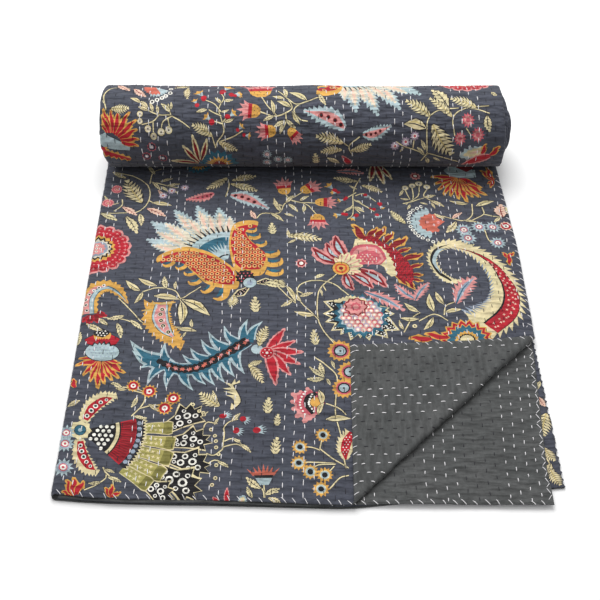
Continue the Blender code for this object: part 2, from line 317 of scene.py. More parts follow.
def ripple_room(a, b):
    """Wrinkles fade where layers are pressed together: inside the stack and inside the roll."""
    top = (a < LAYER_1) | (a > FOLD_3 + 0.01)
    outer = (a > LAYER_1) & (a < FOLD_2)
    room = np.where(top, 1.0, np.where(outer & (a < FOLD_1 + 0.1), 0.25, 0.03))
    wound_room = np.where(outer & (b < FLAT_LENGTH + 0.46), 1.0, 0.15)
    return np.where(b > FLAT_LENGTH + 0.02, wound_room, room)


# ---------------------------------------------------------------- colours of the print
def srgb(code):
    """A linear colour from a hexadecimal one."""
    values = np.array([int(code[i : i + 2], 16) for i in (0, 2, 4)]) / 255
    return np.where(values <= 0.04045, values / 12.92, ((values + 0.055) / 1.055) ** 2.4)


PALETTE = {
    "ground": "434550", "dark": "2b2a31", "black": "1b191c", "cream": "d0c199", "ivory": "cbc0ad",
    "straw": "b5a26c", "white": "e6e1d8", "gold": "c9974a", "dark_olive": "77713c", "olive": "9c9455",
    "orange": "c54e2c", "red": "a61c2a", "dark_red": "7a1820", "rose": "b7545f", "pink": "c98583",
    "blush": "dab5a3", "coral": "b9604f", "lilac": "a694a9", "pale_blue": "a0b0b5", "grey_blue": "8a94a4",
    "teal": "2c5c70", "green": "2a564f",
}
COLOURS = {name: srgb(code) for name, code in PALETTE.items()}


# ---------------------------------------------------------------- drawing tools of the print
def smooth(points, steps):
    """Even steps along a smooth curve through the points."""
    points = np.asarray(points, dtype=float)
    if len(points) == 2:
        share = np.linspace(0, 1, steps + 1)[:, None]
        return points[0] * (1 - share) + points[1] * share
    ends = np.concatenate(([2 * points[0] - points[1]], points, [2 * points[-1] - points[-2]]))
    place = np.linspace(0, len(points) - 1, steps + 1)
    i = np.minimum(place.astype(int), len(points) - 2)
    t = (place - i)[:, None]
    p0, p1, p2, p3 = ends[i], ends[i + 1], ends[i + 2], ends[i + 3]
    return p1 + 0.5 * t * (p2 - p0 + t * (2 * p0 - 5 * p1 + 4 * p2 - p3 + t * (3 * (p1 - p2) + p3 - p0)))


def profile(values, share):
    """The value at each share of the way, between evenly spaced values."""
    return np.interp(share, np.linspace(0, 1, len(values)), values)


def band(points, left, right=None, steps=None, teeth=(0, 0), spike=(0.0,), lean=0.6):
    """Outline of a band along a smooth spine. left and right are its half widths along the way; teeth are the
    spikes on each side, spike their length along the way and lean how far they point forwards."""
    right = left if right is None else right
    edges = []
    for side, widths, count in ((1, left, teeth[0]), (-1, right, teeth[1])):
        number = 2 * count if count else (steps or max(4 * (len(points) - 1), 6))
        spine = smooth(points, number)
        run = np.gradient(spine, axis=0)
        run /= np.linalg.norm(run, axis=1, keepdims=True) + 1e-12
        normal = np.stack((-run[:, 1], run[:, 0]), axis=1) * side
        share = np.linspace(0, 1, number + 1)
        edge = spine + normal * profile(widths, share)[:, None]
        if count:
            reach = profile(spike, share) * (np.arange(number + 1) % 2)
            edge += (normal + run * lean) * reach[:, None]
        edges.append(edge)
    return np.concatenate((edges[0], edges[1][::-1]))


def around(x, y, outer, inner=None, count=10, turn=0.0):
    """A disc, or a star where inner is given."""
    number = count if inner is None else 2 * count
    angle = np.linspace(0, 2 * math.pi, number, endpoint=False) + turn
    radius = outer if inner is None else np.where(np.arange(number) % 2, inner, outer)
    return np.stack((x + radius * np.cos(angle), y + radius * np.sin(angle)), axis=1)


def fan_part(x, y, low, high, first, last, count=8, zigzag=0.0):
    """A part of a ring from angle first to last in degrees, its outside in zigzags if asked."""
    number = 2 * count
    angle = np.radians(np.linspace(first, last, number + 1))
    outer = high + zigzag * (np.arange(number + 1) % 2)
    far = np.stack((x + outer * np.cos(angle), y + outer * np.sin(angle)), axis=1)
    near = np.stack((x + low * np.cos(angle[::-2]), y + low * np.sin(angle[::-2])), axis=1)
    return np.concatenate((far, near))


def inside(places, outline):
    """Whether each place lies inside an outline that doesn't cross itself."""
    x, y = places[:, :1], places[:, 1:]
    x1, y1 = outline.T
    x2, y2 = np.roll(x1, -1), np.roll(y1, -1)
    crossing = ((y1 > y) != (y2 > y)) & (x < (x2 - x1) * (y - y1) / (y2 - y1 + 1e-12) + x1)
    return crossing.sum(axis=1) % 2 == 1


def hexagonal(outline, spacing, margin=0.0):
    """Places in rows inside an outline, each a spacing from the next and a margin from the outline."""
    low, high = outline.min(axis=0), outline.max(axis=0)
    rows = np.arange(low[1], high[1], spacing * 0.87)
    columns = np.arange(low[0], high[0], spacing)
    places = np.array([(x + spacing * 0.5 * (i % 2), y) for i, y in enumerate(rows) for x in columns])
    kept = inside(places, outline)
    for dx, dy in ((margin, 0), (-margin, 0), (0, margin), (0, -margin)):
        kept &= inside(places + (dx, dy), outline)
    return places[kept]


def ways(degrees):
    """Cosine and sine of each angle."""
    return [(math.cos(angle), math.sin(angle)) for angle in np.radians(degrees)]


class Pen:
    """Draws shapes in a motif's own measure: x from its root, 0, to its tip, 1, and y to its left."""

    def __init__(self, shapes, root=(0, 0), tip=(1, 0), wide=1.0):
        self.shapes = shapes
        self.root = np.array(root, dtype=float)
        along = np.array(tip, dtype=float) - self.root
        self.axes = np.array((along, (-along[1] * wide, along[0] * wide)))

    def draw(self, colour, outline):
        """Adds an outline in a colour."""
        self.shapes.append((self.root + np.asarray(outline, dtype=float) @ self.axes, colour))

    def band(self, colour, *spine_and_widths, **edges):
        """Adds what band() draws in a colour."""
        self.draw(colour, band(*spine_and_widths, **edges))

    def rings(self, x, y, *rings):
        """Discs and stars round one middle, the largest first: a colour, then what around() takes."""
        for colour, *size in rings:
            self.draw(colour, around(x, y, *size))

    def parts(self, x, y, *parts):
        """Parts of rings round one middle: a colour, then what fan_part() takes."""
        for colour, *size in parts:
            self.draw(colour, fan_part(x, y, *size))

    def dots(self, places, *discs, count=8):
        """Discs as (colour, radius) at each place, the largest first."""
        for x, y in places:
            self.rings(x, y, *((colour, radius, None, count) for colour, radius in discs))

    def barbs(self, colour, places, y, reach, rise, foot):
        """Short slanting lines on both sides of a midrib."""
        for x in places:
            for side in (-1, 1):
                self.draw(colour, [(x, y), (x + reach, y + side * rise), (x + foot, y)])

    def at(self, place, wide=1.0):
        """A pen for one motif. place is x and y of its root, then of its tip."""
        return Pen(self.shapes, place[:2], place[2:], wide)

    def motifs(self, draw, wide, *places):
        """Draws a motif at each place, as wide as said."""
        for place in places:
            draw(self.at(place, wide))

    def petals(self, draw, wide, root, *tips):
        """Draws a motif from one root to each tip."""
        self.motifs(draw, wide, *((*root, *tip) for tip in tips))


# ---------------------------------------------------------------- motifs from root to tip
def leaf(pen, body="cream", vein="dark"):
    """A toothed leaf with veins."""
    bend = [(0, 0), (0.5, 0.05), (1, 0)]
    pen.band("dark", [(-0.03, 0), (0.5, 0.05), (1.06, 0)], (0.04, 0.22, 0.25, 0.15, 0.0), steps=8)
    pen.band(body, bend, (0.02, 0.15, 0.18, 0.10, 0.0), teeth=(6, 6), spike=(0.02, 0.07, 0.03), lean=0.9)
    pen.band(vein, [(0.0, 0), (0.5, 0.05), (0.85, 0.02)], (0.018, 0.016, 0.004), steps=4)
    pen.barbs(vein, (0.2, 0.38, 0.56, 0.72), 0.03, 0.10, 0.12, 0.05)


def pink_leaf(pen):
    """A pale pink leaf."""
    leaf(pen, "blush", "dark_red")


def plain(pen):
    """A smooth leaf with a midrib."""
    bend = [(0, 0), (0.5, 0.07), (1, 0)]
    pen.band("dark", [(-0.03, 0), (0.5, 0.07), (1.05, 0)], (0.03, 0.19, 0.21, 0.13, 0.0), steps=8)
    pen.band("cream", bend, (0.01, 0.14, 0.17, 0.10, 0.0), steps=8)
    pen.band("dark", [(0.05, 0), (0.5, 0.07), (0.88, 0.03)], (0.02, 0.02, 0.0), steps=4)
    pen.band("straw", [(0.1, 0.06), (0.5, 0.15), (0.85, 0.06)], (0.0, 0.035, 0.0), steps=4)


def fern(pen):
    """A long leaf cut into narrow leaflets."""
    bend = [(0, 0), (0.5, 0.04), (1, 0)]
    pen.band("dark", [(-0.02, 0), (0.5, 0.04), (1.04, 0)], (0.05, 0.2, 0.24, 0.16, 0.02), steps=8)
    widths, spikes = (0.03, 0.10, 0.11, 0.06, 0.0), (0.06, 0.17, 0.13, 0.05)
    pen.band("cream", bend, widths, teeth=(8, 8), spike=spikes, lean=1.1)
    pen.barbs("dark", np.linspace(0.1, 0.82, 7), 0.03, 0.13, 0.15, 0.055)
    pen.band("straw", [(0.0, 0), (0.5, 0.04), (0.9, 0.02)], (0.022, 0.02, 0.0), steps=4)


def feather(pen):
    """An ivory-cream feather with a pale blue edge and a pink mark."""
    spine, edge = [(0, 0), (0.5, 0), (1, 0)], (0.2, 0.22, 0.24, 0.2, 0.0)
    pen.band("pale_blue", spine, edge, teeth=(5, 5), spike=(0.02, 0.12, 0.05))
    short = [(0, 0), (0.5, 0), (0.85, 0)]
    pen.band("cream", short, (0.17, 0.17, 0.14, 0.0), teeth=(4, 4), spike=(0.02, 0.06, 0.02))
    pen.band("blush", [(0.1, 0.02), (0.4, 0.03), (0.62, 0.0)], (0.03, 0.06, 0.0), steps=4)


def bell(pen):
    """A gold cup with a red rim and five pink petals."""
    for angle in (-52, -27, 0, 27, 52):
        c, s = math.cos(math.radians(angle)), math.sin(math.radians(angle))
        reach = 0.62 - 0.05 * abs(angle) / 26
        tip = (0.42 + reach * c, reach * s)
        pen.band("pink", [(0.36, s * 0.22), (0.42 + 0.3 * c, 0.3 * s), tip], (0.10, 0.09, 0.0), steps=5)
        pen.band("rose", [(0.42, s * 0.2), (0.42 + 0.4 * c, 0.4 * s)], (0.03, 0.0), steps=2)
    pen.band("red", [(0.30, 0), (0.52, 0)], (0.26, 0.29), steps=2)
    pen.band("gold", [(0, 0), (0.15, 0), (0.36, 0)], (0.10, 0.24, 0.27), steps=5)
    pen.dots([(0.12, 0.08), (0.12, -0.08), (0.25, 0), (0.25, 0.15), (0.25, -0.15)], ("dark", 0.022), count=5)


def bud(pen):
    """A red berry with a pale blue tuft."""
    for c, s in ways((-50, -25, 0, 25, 50)):
        pen.band("pale_blue", [(0.35, 0.15 * s), (0.35 + 0.62 * c, 0.55 * s)], (0.12, 0.0), steps=2)
    pen.draw("red", around(0.27, 0, 0.27))
    pen.band("dark_red", [(0.1, -0.1), (0.3, -0.2), (0.45, -0.1)], (0.0, 0.05, 0.0), steps=3)


def gold_bud(pen):
    """A red berry in a gold and pale blue cup."""
    pen.draw("gold", [(0.4, 0.0), (0.85, 0.42), (0.8, 0.16), (1.0, 0.0), (0.8, -0.2), (0.88, -0.4)])
    pen.draw("pale_blue", [(0.25, 0.05), (0.7, 0.24), (0.62, 0.0), (0.7, -0.24)])
    pen.draw("red", around(0.14, 0, 0.2))


def tuft(pen):
    """A small ragged cone of leaves."""
    pen.band("dark", [(0.02, 0), (0.5, 0.02), (1.06, 0)], (0.2, 0.22, 0.03), steps=6)
    spine, spikes = [(0, 0), (0.5, 0.03), (1, 0)], (0.17, 0.17, 0.12, 0.04)
    pen.band("cream", spine, (0.1, 0.13, 0.09, 0.0), teeth=(5, 4), spike=spikes, lean=1.1)
    pen.barbs("dark", (0.12, 0.34, 0.56), 0.0, 0.17, 0.15, 0.06)


def plume(pen, edge="pale_blue", body="pink"):
    """A ragged feather with a row of dark eyes."""
    spine = [(0.02, 0), (0.35, 0.07), (0.7, 0.02), (1.0, -0.04)]
    spikes = (0.03, 0.06, 0.07, 0.03)
    pen.band(edge, spine, (0.06, 0.17, 0.15, 0.07, 0.0), teeth=(9, 9), spike=spikes, lean=0.8)
    pen.band(body, spine, (0.02, 0.11, 0.09, 0.03, 0.0), steps=9)
    eyes = [(0.13, 0.03), (0.28, 0.06), (0.44, 0.055), (0.6, 0.03)]
    pen.dots(eyes, ("dark_red", 0.05), ("black", 0.03), count=6)


def red_plume(pen):
    """A pink plume."""
    plume(pen, "pink", "rose")


def wisp(pen):
    """A thin feathery leaf with a dark midrib."""
    spine = [(0, 0), (0.5, 0.06), (1.0, 0)]
    pen.band("pink", spine, (0.02, 0.10, 0.09, 0.0), teeth=(8, 8), spike=(0.05, 0.11, 0.10, 0.03), lean=0.9)
    pen.band("grey_blue", spine, (0.015, 0.05, 0.045, 0.0), steps=6)
    pen.band("teal", [(0, 0), (0.5, 0.06), (0.85, 0.02)], (0.012, 0.012, 0.0), steps=4)


def stick(pen):
    """A dark red spike with a cream rim, as in the bursts."""
    pen.band("cream", [(0, 0), (0.6, 0.02), (1, 0)], (0.06, 0.13, 0.10, 0.0), teeth=(5, 5), spike=(0.0, 0.03))
    pen.band("dark_red", [(0.0, 0), (0.5, 0.02), (0.88, 0)], (0.03, 0.08, 0.0), steps=5)


def flame(pen, outer="gold", inner="red"):
    """A curling pointed petal in two colours."""
    spine = [(0, 0), (0.35, 0.07), (0.7, -0.05), (1, 0.08)]
    pen.band(outer, spine, (0.12, 0.21, 0.14, 0.0), teeth=(3, 3), spike=(0.02, 0.09, 0.02), lean=1.4)
    pen.band(inner, [(0, 0), (0.35, 0.07), (0.7, -0.04), (0.9, 0.02)], (0.1, 0.18, 0.09, 0.0), steps=8)


def red_flame(pen):
    """A red flame."""
    flame(pen, "red", "dark_red")


def dark_flame(pen):
    """A gold flame, dark inside."""
    flame(pen, "gold", "dark_red")


def straw_flame(pen):
    """A gold flame, pale inside."""
    flame(pen, "gold", "straw")


def gold_tail(pen):
    """A short gold lobe."""
    pen.band("gold", [(-0.6, 0), (0.3, 0.1), (1, 0)], (0.4, 0.3, 0.0), steps=6)


def cream_ray(pen):
    """A cream ray with a pink midrib."""
    pen.band("cream", [(0, 0), (0.7, 0), (1, 0)], (0.08, 0.17, 0.04), steps=5)
    pen.band("pink", [(0.3, 0), (0.9, 0)], (0.02, 0.03), steps=2)


def spiky(pen, body="red"):
    """A red pointed petal with a paler ragged edge."""
    spine = [(0, 0), (0.4, 0.03), (1, 0)]
    pen.band("pink", spine, (0.08, 0.17, 0.17, 0.12, 0.0), teeth=(7, 7), spike=(0.0, 0.03, 0.03))
    pen.band(body, [(0, 0), (0.4, 0.03), (0.92, 0)], (0.06, 0.13, 0.12, 0.0), steps=7)


def pink_spiky(pen):
    """A pink pointed petal."""
    spiky(pen, "pink")


def petal(pen):
    """A thistle petal: pink edge, dark red inside and a grey heart."""
    spine = [(0, 0), (0.5, 0.08), (1, -0.05)]
    pen.band("pink", spine, (0.10, 0.24, 0.22, 0.0), teeth=(5, 5), spike=(0.0, 0.04, 0.03), lean=1.2)
    pen.band("dark_red", spine, (0.07, 0.16, 0.13, 0.0), steps=7)
    pen.band("pale_blue", [(0.15, 0.03), (0.5, 0.08), (0.78, 0.03)], (0.0, 0.09, 0.0), steps=5)


def curl(pen):
    """A gold crook with a teal hollow."""
    pen.band("gold", [(0, 0), (0.5, 0.12), (0.9, 0.0), (0.95, -0.28)], (0.16, 0.15, 0.12, 0.04), steps=8)
    pen.band("teal", [(0.05, -0.22), (0.45, -0.12), (0.8, -0.22)], (0.05, 0.11, 0.0), steps=5)


def pod(pen):
    """A cream-fringed red pod with white rings."""
    spine = [(0, 0), (0.4, 0.12), (0.75, 0.1), (1.0, -0.02)]
    fringe = (0.10, 0.19, 0.17, 0.03)
    spikes = (0.03, 0.07, 0.05)
    pen.band("cream", spine, fringe, (0.1, 0.13, 0.12, 0.03), teeth=(13, 9), spike=spikes, lean=0.7)
    pen.band("red", [(0.06, 0), (0.4, 0.1), (0.72, 0.08), (0.9, 0)], (0.07, 0.12, 0.10, 0.0), steps=10)
    for x, y, radius in ((0.16, 0.045, 0.055), (0.32, 0.08, 0.06), (0.47, 0.1, 0.06), (0.62, 0.095, 0.05),
                         (0.76, 0.06, 0.04)):
        pen.dots([(x, y)], ("white", radius), ("green", radius * 0.6), ("black", radius * 0.25), count=9)


def black_tip(pen):
    """A jagged black tip with white rings and a cream rim."""
    outline = [(0.0, 0.13), (0.3, 0.2), (0.55, 0.42), (0.62, 0.24), (0.8, 0.3), (0.78, 0.12), (0.97, 0.1),
               (0.86, -0.02), (1.02, -0.12), (0.8, -0.16), (0.84, -0.32), (0.6, -0.25), (0.35, -0.2),
               (0.0, -0.16)]
    pen.draw("cream", np.array(outline) * (1.06, 1.16) - (0.03, 0))
    pen.draw("black", outline)
    for x, y, radius in ((0.1, 0.03, 0.075), (0.3, -0.07, 0.09), (0.34, 0.12, 0.075), (0.55, 0.04, 0.1),
                         (0.72, -0.07, 0.075), (0.15, -0.1, 0.05), (0.52, -0.15, 0.055), (0.55, 0.22, 0.055)):
        pen.dots([(x, y)], ("white", radius), ("black", radius * 0.55), count=9)


def olive_petal(pen):
    """An olive petal with cream crosses and a darker end."""
    outline = band([(0, 0), (0.5, 0), (0.86, 0), (1.0, 0)], (0.17, 0.2, 0.25, 0.21), steps=9)
    pen.draw("cream", outline * (1.02, 1.12))
    pen.draw("olive", outline)
    pen.band("dark_olive", [(0.72, 0), (0.86, 0), (0.98, 0)], (0.22, 0.24, 0.2), steps=3)
    for x in (0.12, 0.27, 0.42, 0.57):
        pen.draw("cream", around(x, 0.09, 0.075, 0.025, 4, x * 9))
        pen.draw("cream", around(x + 0.06, -0.08, 0.07, 0.025, 4, x * 7))


def crown(pen):
    """A coral crown of spikes on a grey cup."""
    for y in (-0.7, -0.42, -0.2, 0.0, 0.24, 0.45, 0.74):
        pen.draw("coral", [(0.42, y * 0.5 - 0.1), (1.0 - abs(y) * 0.3, y), (0.42, y * 0.5 + 0.1)])
    pen.band("coral", [(0.42, 0), (0.58, 0)], (0.42, 0.5), steps=2)
    pen.band("black", [(0.32, 0), (0.45, 0)], (0.34, 0.42), steps=2)
    pen.band("pale_blue", [(0, 0), (0.32, 0)], (0.2, 0.36), steps=3)


SMALL = (
    leaf, pink_leaf, plain, fern, feather, bell, bud, gold_bud, tuft, plume, red_plume, wisp, stick, flame,
    spiky, pod, crown,
)
MOTIFS = {draw.__name__: draw for draw in SMALL}

# Round flowers, rings from the outside in: colour, outer radius, and a toothed ring's inner radius and teeth.
ROUNDS = {
    "daisy": (("gold", 1.0, 0.72, 12), ("cream", 0.6), ("pale_blue", 0.5), ("black", 0.34)),
    "red_eye": (("gold", 1.0, 0.72, 12), ("red", 0.68), ("white", 0.36), ("red", 0.16)),
    "grey_eye": (("gold", 1.0, 0.8, 15), ("rose", 0.66), ("black", 0.52), ("pale_blue", 0.4),
                 ("black", 0.09)),
    "aster": (("pale_blue", 1.0, 0.62, 12), ("grey_blue", 0.6, 0.5, 10), ("rose", 0.42), ("white", 0.3),
              ("rose", 0.14)),
    "pink_aster": (("rose", 1.0, 0.66, 12), ("pink", 0.66, 0.45, 9), ("rose", 0.3)),
    "blossom": (("pink", 1.0, 0.84, 14), ("rose", 0.76), ("pink", 0.5), ("rose", 0.3), ("cream", 0.14)),
    "lilac": (("lilac", 1.0, 0.7, 9), ("white", 0.55, 0.4, 7), ("rose", 0.3)),
    "berry": (("dark", 1.12), ("cream", 1.0), ("ivory", 0.7), ("dark", 0.25)),
    "ring": (("white", 1.0), ("dark", 0.5)),
    "ghost": (("rose", 1.0, 0.8, 9), ("dark", 0.78), ("lilac", 0.5, 0.35, 6), ("white", 0.25)),
    "knob": (("cream", 0.75), ("dark", 0.3)),
    "red_dot": (("red", 1.0),),
    "pink_ring": (("pink", 1.0, 0.75, 9), ("dark_red", 0.62), ("white", 0.34)),
    "eye": (("blush", 1.0, 0.82, 11), ("red", 0.76), ("dark_red", 0.5), ("white", 0.42), ("black", 0.2)),
}


def vine(pen, points):
    """A cream stem with a dark line round it."""
    steps = 4 * (len(points) - 1)
    pen.band("dark", points, (1.7, 1.7), steps=steps)
    pen.band("cream", points, (1.0, 0.8), steps=steps)


def stems(text):
    """Stems from text: x and y of each point in turn, with commas between stems."""
    return [np.array(stem.split(), dtype=float).reshape(-1, 2) for stem in text.split(",")]


def placed(text):
    """Places from text: a line names its motif and gives each place's numbers, with commas between places."""
    lines = [line.split(maxsplit=1) for line in text.strip().splitlines()]
    return [(name, *map(float, place.split())) for name, places in lines for place in places.split(",")]


# ---------------------------------------------------------------- the top layer's print
# Millimetres from the middle of the folded width and from the near hem. A motif's place is x and y of its
# root, x and y of its tip and how wide it is drawn; a round flower's is x, y and its radius.
TOP_VINES = stems("""
    -331 648 -295 637 -267 612 -262 577 -275 549 -300 544 -340 542, -308 578 -307 561 -319 548,
    -322 563 -313 568, -264 622 -247 617 -215 607, -264 617 -261 646 -246 656, -262 574 -246 564,
    -129 630 -127 612 -132 584, -23 580 -33 565 -42 545 -70 543 -80 531, -32 597 -23 580 -5 592 5 602,
    -23 577 4 567 22 541, -4 572 23 570, 101 633 86 595 82 543 71 529, 91 595 71 580 57 575,
    86 577 99 565 118 548, 83 563 67 546, 89 587 104 592 123 572, 85 558 94 543,
    51 409 38 394 22 375 17 346 18 312 27 287 45 265 58 248,
    66 361 44 384 16 392 -6 385 -14 369 -8 346 9 324 18 312, 27 381 31 371, -13 369 0 360,
    174 607 179 587 181 577, 188 607 188 587 184 572, 201 612 196 587 173 565,
    214 605 206 587 221 572 237 560, 168 567 184 572 206 582, 285 567 281 540 265 526 246 531 229 538,
    301 560 301 543 279 528, 301 543 317 538 332 536, 279 528 294 517 299 482 311 475,
    171 310 195 322 215 310, 210 320 215 340 231 348, 147 287 161 316 174 326,
    -255 365 -231 374 -204 368 -194 352 -179 364 -164 376, -194 352 -194 336,
    -291 351 -270 328 -251 304 -237 297, -310 310 -277 307 -250 295, -221 294 -176 292,
    -69 385 -47 379 -30 360 -16 344, -106 370 -115 351 -114 333,
    -247 130 -237 144 -231 158 -234 172 -250 181, -237 144 -216 150 -201 145, -283 186 -266 180 -254 181,
    -233 170 -243 173 -257 176, -277 46 -271 34 -276 24 -298 9, -274 40 -261 26 -260 11,
    -114 77 -113 103 -114 113 -105 124 -95 128, -114 77 -125 67 -136 70, -112 90 -101 95 -90 92,
    -115 80 -95 86 -80 78, -139 48 -124 60 -105 52, -146 96 -140 120 -124 119, -52 6 -54 24 -54 30,
    -71 32 -56 18 -53 6, -34 15 -52 12, 27 287 42 265 51 257, 13 240 31 224 46 205 44 166 44 139 51 107,
    30 158 47 151 59 140, 21 84 39 69 53 60 62 54, -6 85 11 85 22 81, -5 61 19 62 44 61, 9 47 20 58 44 60,
    26 105 22 84, 31 43 42 57, 35 22 50 39 62 43, 58 54 55 72
""")
TOP_MOTIFS = placed("""
    fern -274 569 -305 627 0.95, -307 632 -331 648 0.7
    leaf -257 643 -270 664 0.7, -247 622 -225 630 0.6, -236 612 -212 617 0.5, -261 622 -245 602 0.6
    leaf -246 612 -231 597 0.6, -229 607 -214 592 0.5
    pink_leaf -249 602 -237 582 0.6
    plain -257 569 -222 562 0.75
    pink_leaf -264 554 -231 535 0.8
    leaf -297 534 -275 494 0.8, -275 542 -270 513 0.8
    pink_leaf -306 558 -279 537 0.8
    leaf -340 540 -311 524 0.8, -324 563 -339 585 0.5
    red_plume -152 594 -199 575 1
    plume -125 589 -57 557 1
    fern -131 633 -165 604 0.8, -122 625 -81 638 0.8, -124 617 -79 599 0.8
    bell -31 590 -35 633 1, -3 597 32 618 1, 20 572 59 570 0.9, 22 543 23 505 1.2
    plain -38 548 -50 582 0.7
    leaf -35 562 -52 567 0.8, -30 570 -16 587 0.8
    plain -57 545 -34 524 0.7
    pink_leaf -80 531 -89 550 1
    leaf -33 543 -17 536 0.7, -26 567 -10 548 0.7, -6 575 10 587 0.8, 1 565 -1 548 0.9
    fern -28 491 26 482 0.75
    leaf -25 486 -28 505 0.7, -15 482 -28 473 0.7
    fern 95 623 55 633 0.8, 102 613 135 595 0.8
    leaf 85 560 101 546 0.8, 82 560 66 548 0.7, 86 575 99 567 0.7, 93 602 80 613 0.6
    gold_bud 57 597 41 618 0.8, 63 595 46 595 0.8, 73 580 57 575 0.8, 69 543 48 538 0.8
    gold_bud 87 541 78 526 0.8, 128 565 135 553 0.8
    bud 121 543 124 529 1, 104 592 112 580 1
    stick 127 672 117 623 0.9, 128 672 141 615 0.8, 132 672 156 628 0.8
    wisp 60 649 108 644 0.9
    leaf 13 396 30 405 0.8
    plain 13 320 -19 326 0.8
    leaf -8 348 -19 366 0.7, -10 358 11 365 0.7, 22 375 25 359 0.5, 172 602 164 587 0.7
    leaf 180 577 165 580 0.7, 180 565 174 553 0.8, 206 582 227 590 0.8, 215 575 237 560 0.7
    leaf 216 570 221 555 0.6, 197 570 210 565 0.6
    fern 167 519 146 548 0.8
    plain 278 567 247 575 0.7, 291 562 324 574 0.8
    leaf 234 531 218 543 0.8
    pink_leaf 246 531 265 545 0.7
    leaf 252 524 232 498 0.9
    plain 265 526 288 524 0.6
    leaf 327 536 315 524 0.9
    pink_leaf 332 536 334 567 1.6
    leaf 342 543 348 567 0.9
    flame 324 441 317 454 1, 324 441 336 454 1, 325 443 325 424 1
    wisp 173 350 139 385 1, 168 350 193 387 1.1, 90 369 151 330 0.85, 231 344 267 400 1.25
    plain 172 328 151 346 0.9, 195 328 191 364 0.9, 212 342 201 368 0.9, 212 326 238 332 0.9
    plain 171 314 142 316 0.8, 193 316 177 292 0.9, 147 293 141 312 0.8
    flame 210 277 177 285 0.8, 188 275 153 277 0.8
    plain -258 367 -283 389 0.9, -233 378 -264 394 0.8
    leaf -218 372 -223 398 0.8, -204 371 -204 387 0.8
    plain -236 357 -195 350 0.8, -192 350 -147 316 0.85, -193 346 -191 298 0.9, -254 365 -265 340 0.8
    leaf -278 315 -303 307 0.8, -287 300 -278 270 0.7, -268 306 -248 289 0.7, -308 284 -334 296 0.8
    leaf -300 295 -316 308 0.8
    plain -194 290 -165 285 0.8
    leaf -173 293 -175 309 0.8, -181 284 -189 273 0.7, -340 254 -340 280 0.8
    tuft -52 495 -54 521 1, -77 325 -79 356 1, 15 263 11 291 0.9, -53 139 -52 166 1, -39 119 -38 138 1
    tuft -40 73 -38 100 1
    plain -31 381 -16 346 0.6
    leaf -20 352 -39 336 0.7, -66 385 -34 377 0.9, -340 141 -324 153 0.8, -266 180 -281 188 0.9
    leaf -242 164 -249 145 0.8, -225 151 -210 140 0.7, -244 130 -225 126 0.6
    plain -259 176 -276 178 0.8
    leaf -275 43 -260 38 0.7, -269 31 -249 24 0.7, -278 23 -294 20 0.7
    flame -311 1 -329 4 1, -311 1 -325 23 1, -309 1 -315 28 1, -308 2 -300 24 1, -260 2 -271 16 0.9
    flame -260 2 -261 21 0.9, -260 2 -247 9 0.9, -334 175 -340 192 1
    fern -123 149 -152 171 1.2
    leaf -126 154 -134 176 0.6
    pod -315 118 -273 166 1.05, -316 88 -284 36 -1
    bud -122 131 -102 136 0.7, -92 130 -76 123 1, -101 110 -84 104 1, -73 109 -52 113 0.85
    leaf -104 123 -92 138 0.7, -101 95 -88 87 0.7, -90 87 -74 74 0.7, -128 117 -122 129 0.7
    leaf -120 58 -104 49 0.7
    crown -54 25 -56 57 1
    leaf -58 19 -79 35 0.9, -69 5 -77 21 0.9, -52 10 -32 20 0.8, -48 6 -29 -2 0.8
    spiky -103 -4 -104 19 0.9
    feather -85 -5 -80 8 1.4
    spiky -112 -6 -123 4 1.6
    leaf 28 204 5 222 0.6, 27 208 21 229 0.9, 27 201 2 200 0.8, 31 201 36 190 0.9
    plain 30 131 66 133 0.85
    leaf 37 233 43 219 0.8
    plain 20 181 24 154 1, 19 139 27 159 1
""")
TOP_ROUNDS = placed("""
    blossom -320 603 10, -331 567 11
    lilac -239 587 8, -225 599 8, -203 607 8
    eye 333 514 11
    pink_ring -7 428 10, 197 638 10
    berry 176 607 6, 189 612 6, 201 618 6.5, 214 610 6
    red_dot 73 582 3.5, 70 541 4, 87 538 4.5, 118 553 3.5, 129 567 4.5, 112 555 2
    knob 164 300 5
    aster 262 505 15, 288 512 14, 311 512 14, 266 486 15, 313 475 14, -336 97 13, -335 79 14, -332 41 15
    red_eye -250 183 11, -226 174 12, -190 162 12, -201 145 12
    grey_eye 51 252 20, 65 214 19, 56 185 18
    daisy 26 105 11.5, -6 85 12, -7 60 12, 9 47 12, 29 43 12, 24 22 12.5
    knob -145 137 4, -161 151 4, -151 140 4, -144 134 4, -132 109 4, -126 99 4, -124 90 4, -123 80 4
    knob -119 69 4, -121 52 4, -121 32 4, -125 22 4
""")

# The same on the roll, from the middle of its width and up its back from the flat stack.
ROLL_VINES = stems("""
    -332 238 -338 214 -332 197 -318 190 -296 194, -277 224 -261 238 -243 245 -223 245,
    -243 245 -253 255 -272 260, -253 255 -253 277, -221 247 -236 255 -240 269, -228 251 -225 266,
    -221 247 -204 256 -191 265, -223 245 -228 227,
    -150 296 -145 285 -134 271 -137 254 -142 236 -134 217 -139 206, -138 241 -150 227 -168 218,
    -138 247 -152 241 -159 237, -135 259 -152 254, -135 256 -128 248, -150 293 -154 277,
    -143 286 -119 278 -102 269, -71 211 -59 231 -45 245, -72 240 -47 247 -27 241 -18 233 -27 216 -42 198,
    26 215 9 223 -8 230 -15 239 -5 252 8 255, 9 223 -11 228 -27 216, -29 241 -29 256 -37 271,
    96 278 78 293 85 312, 66 286 78 294, 212 308 209 265 214 248 232 237 264 234,
    257 277 253 253 261 241 277 234, 277 234 295 236 317 243, 277 233 317 231, 212 308 221 308 267 325,
    212 310 191 300 171 293 158 286, 187 296 188 281, 203 322 213 304, 276 265 283 274
""")
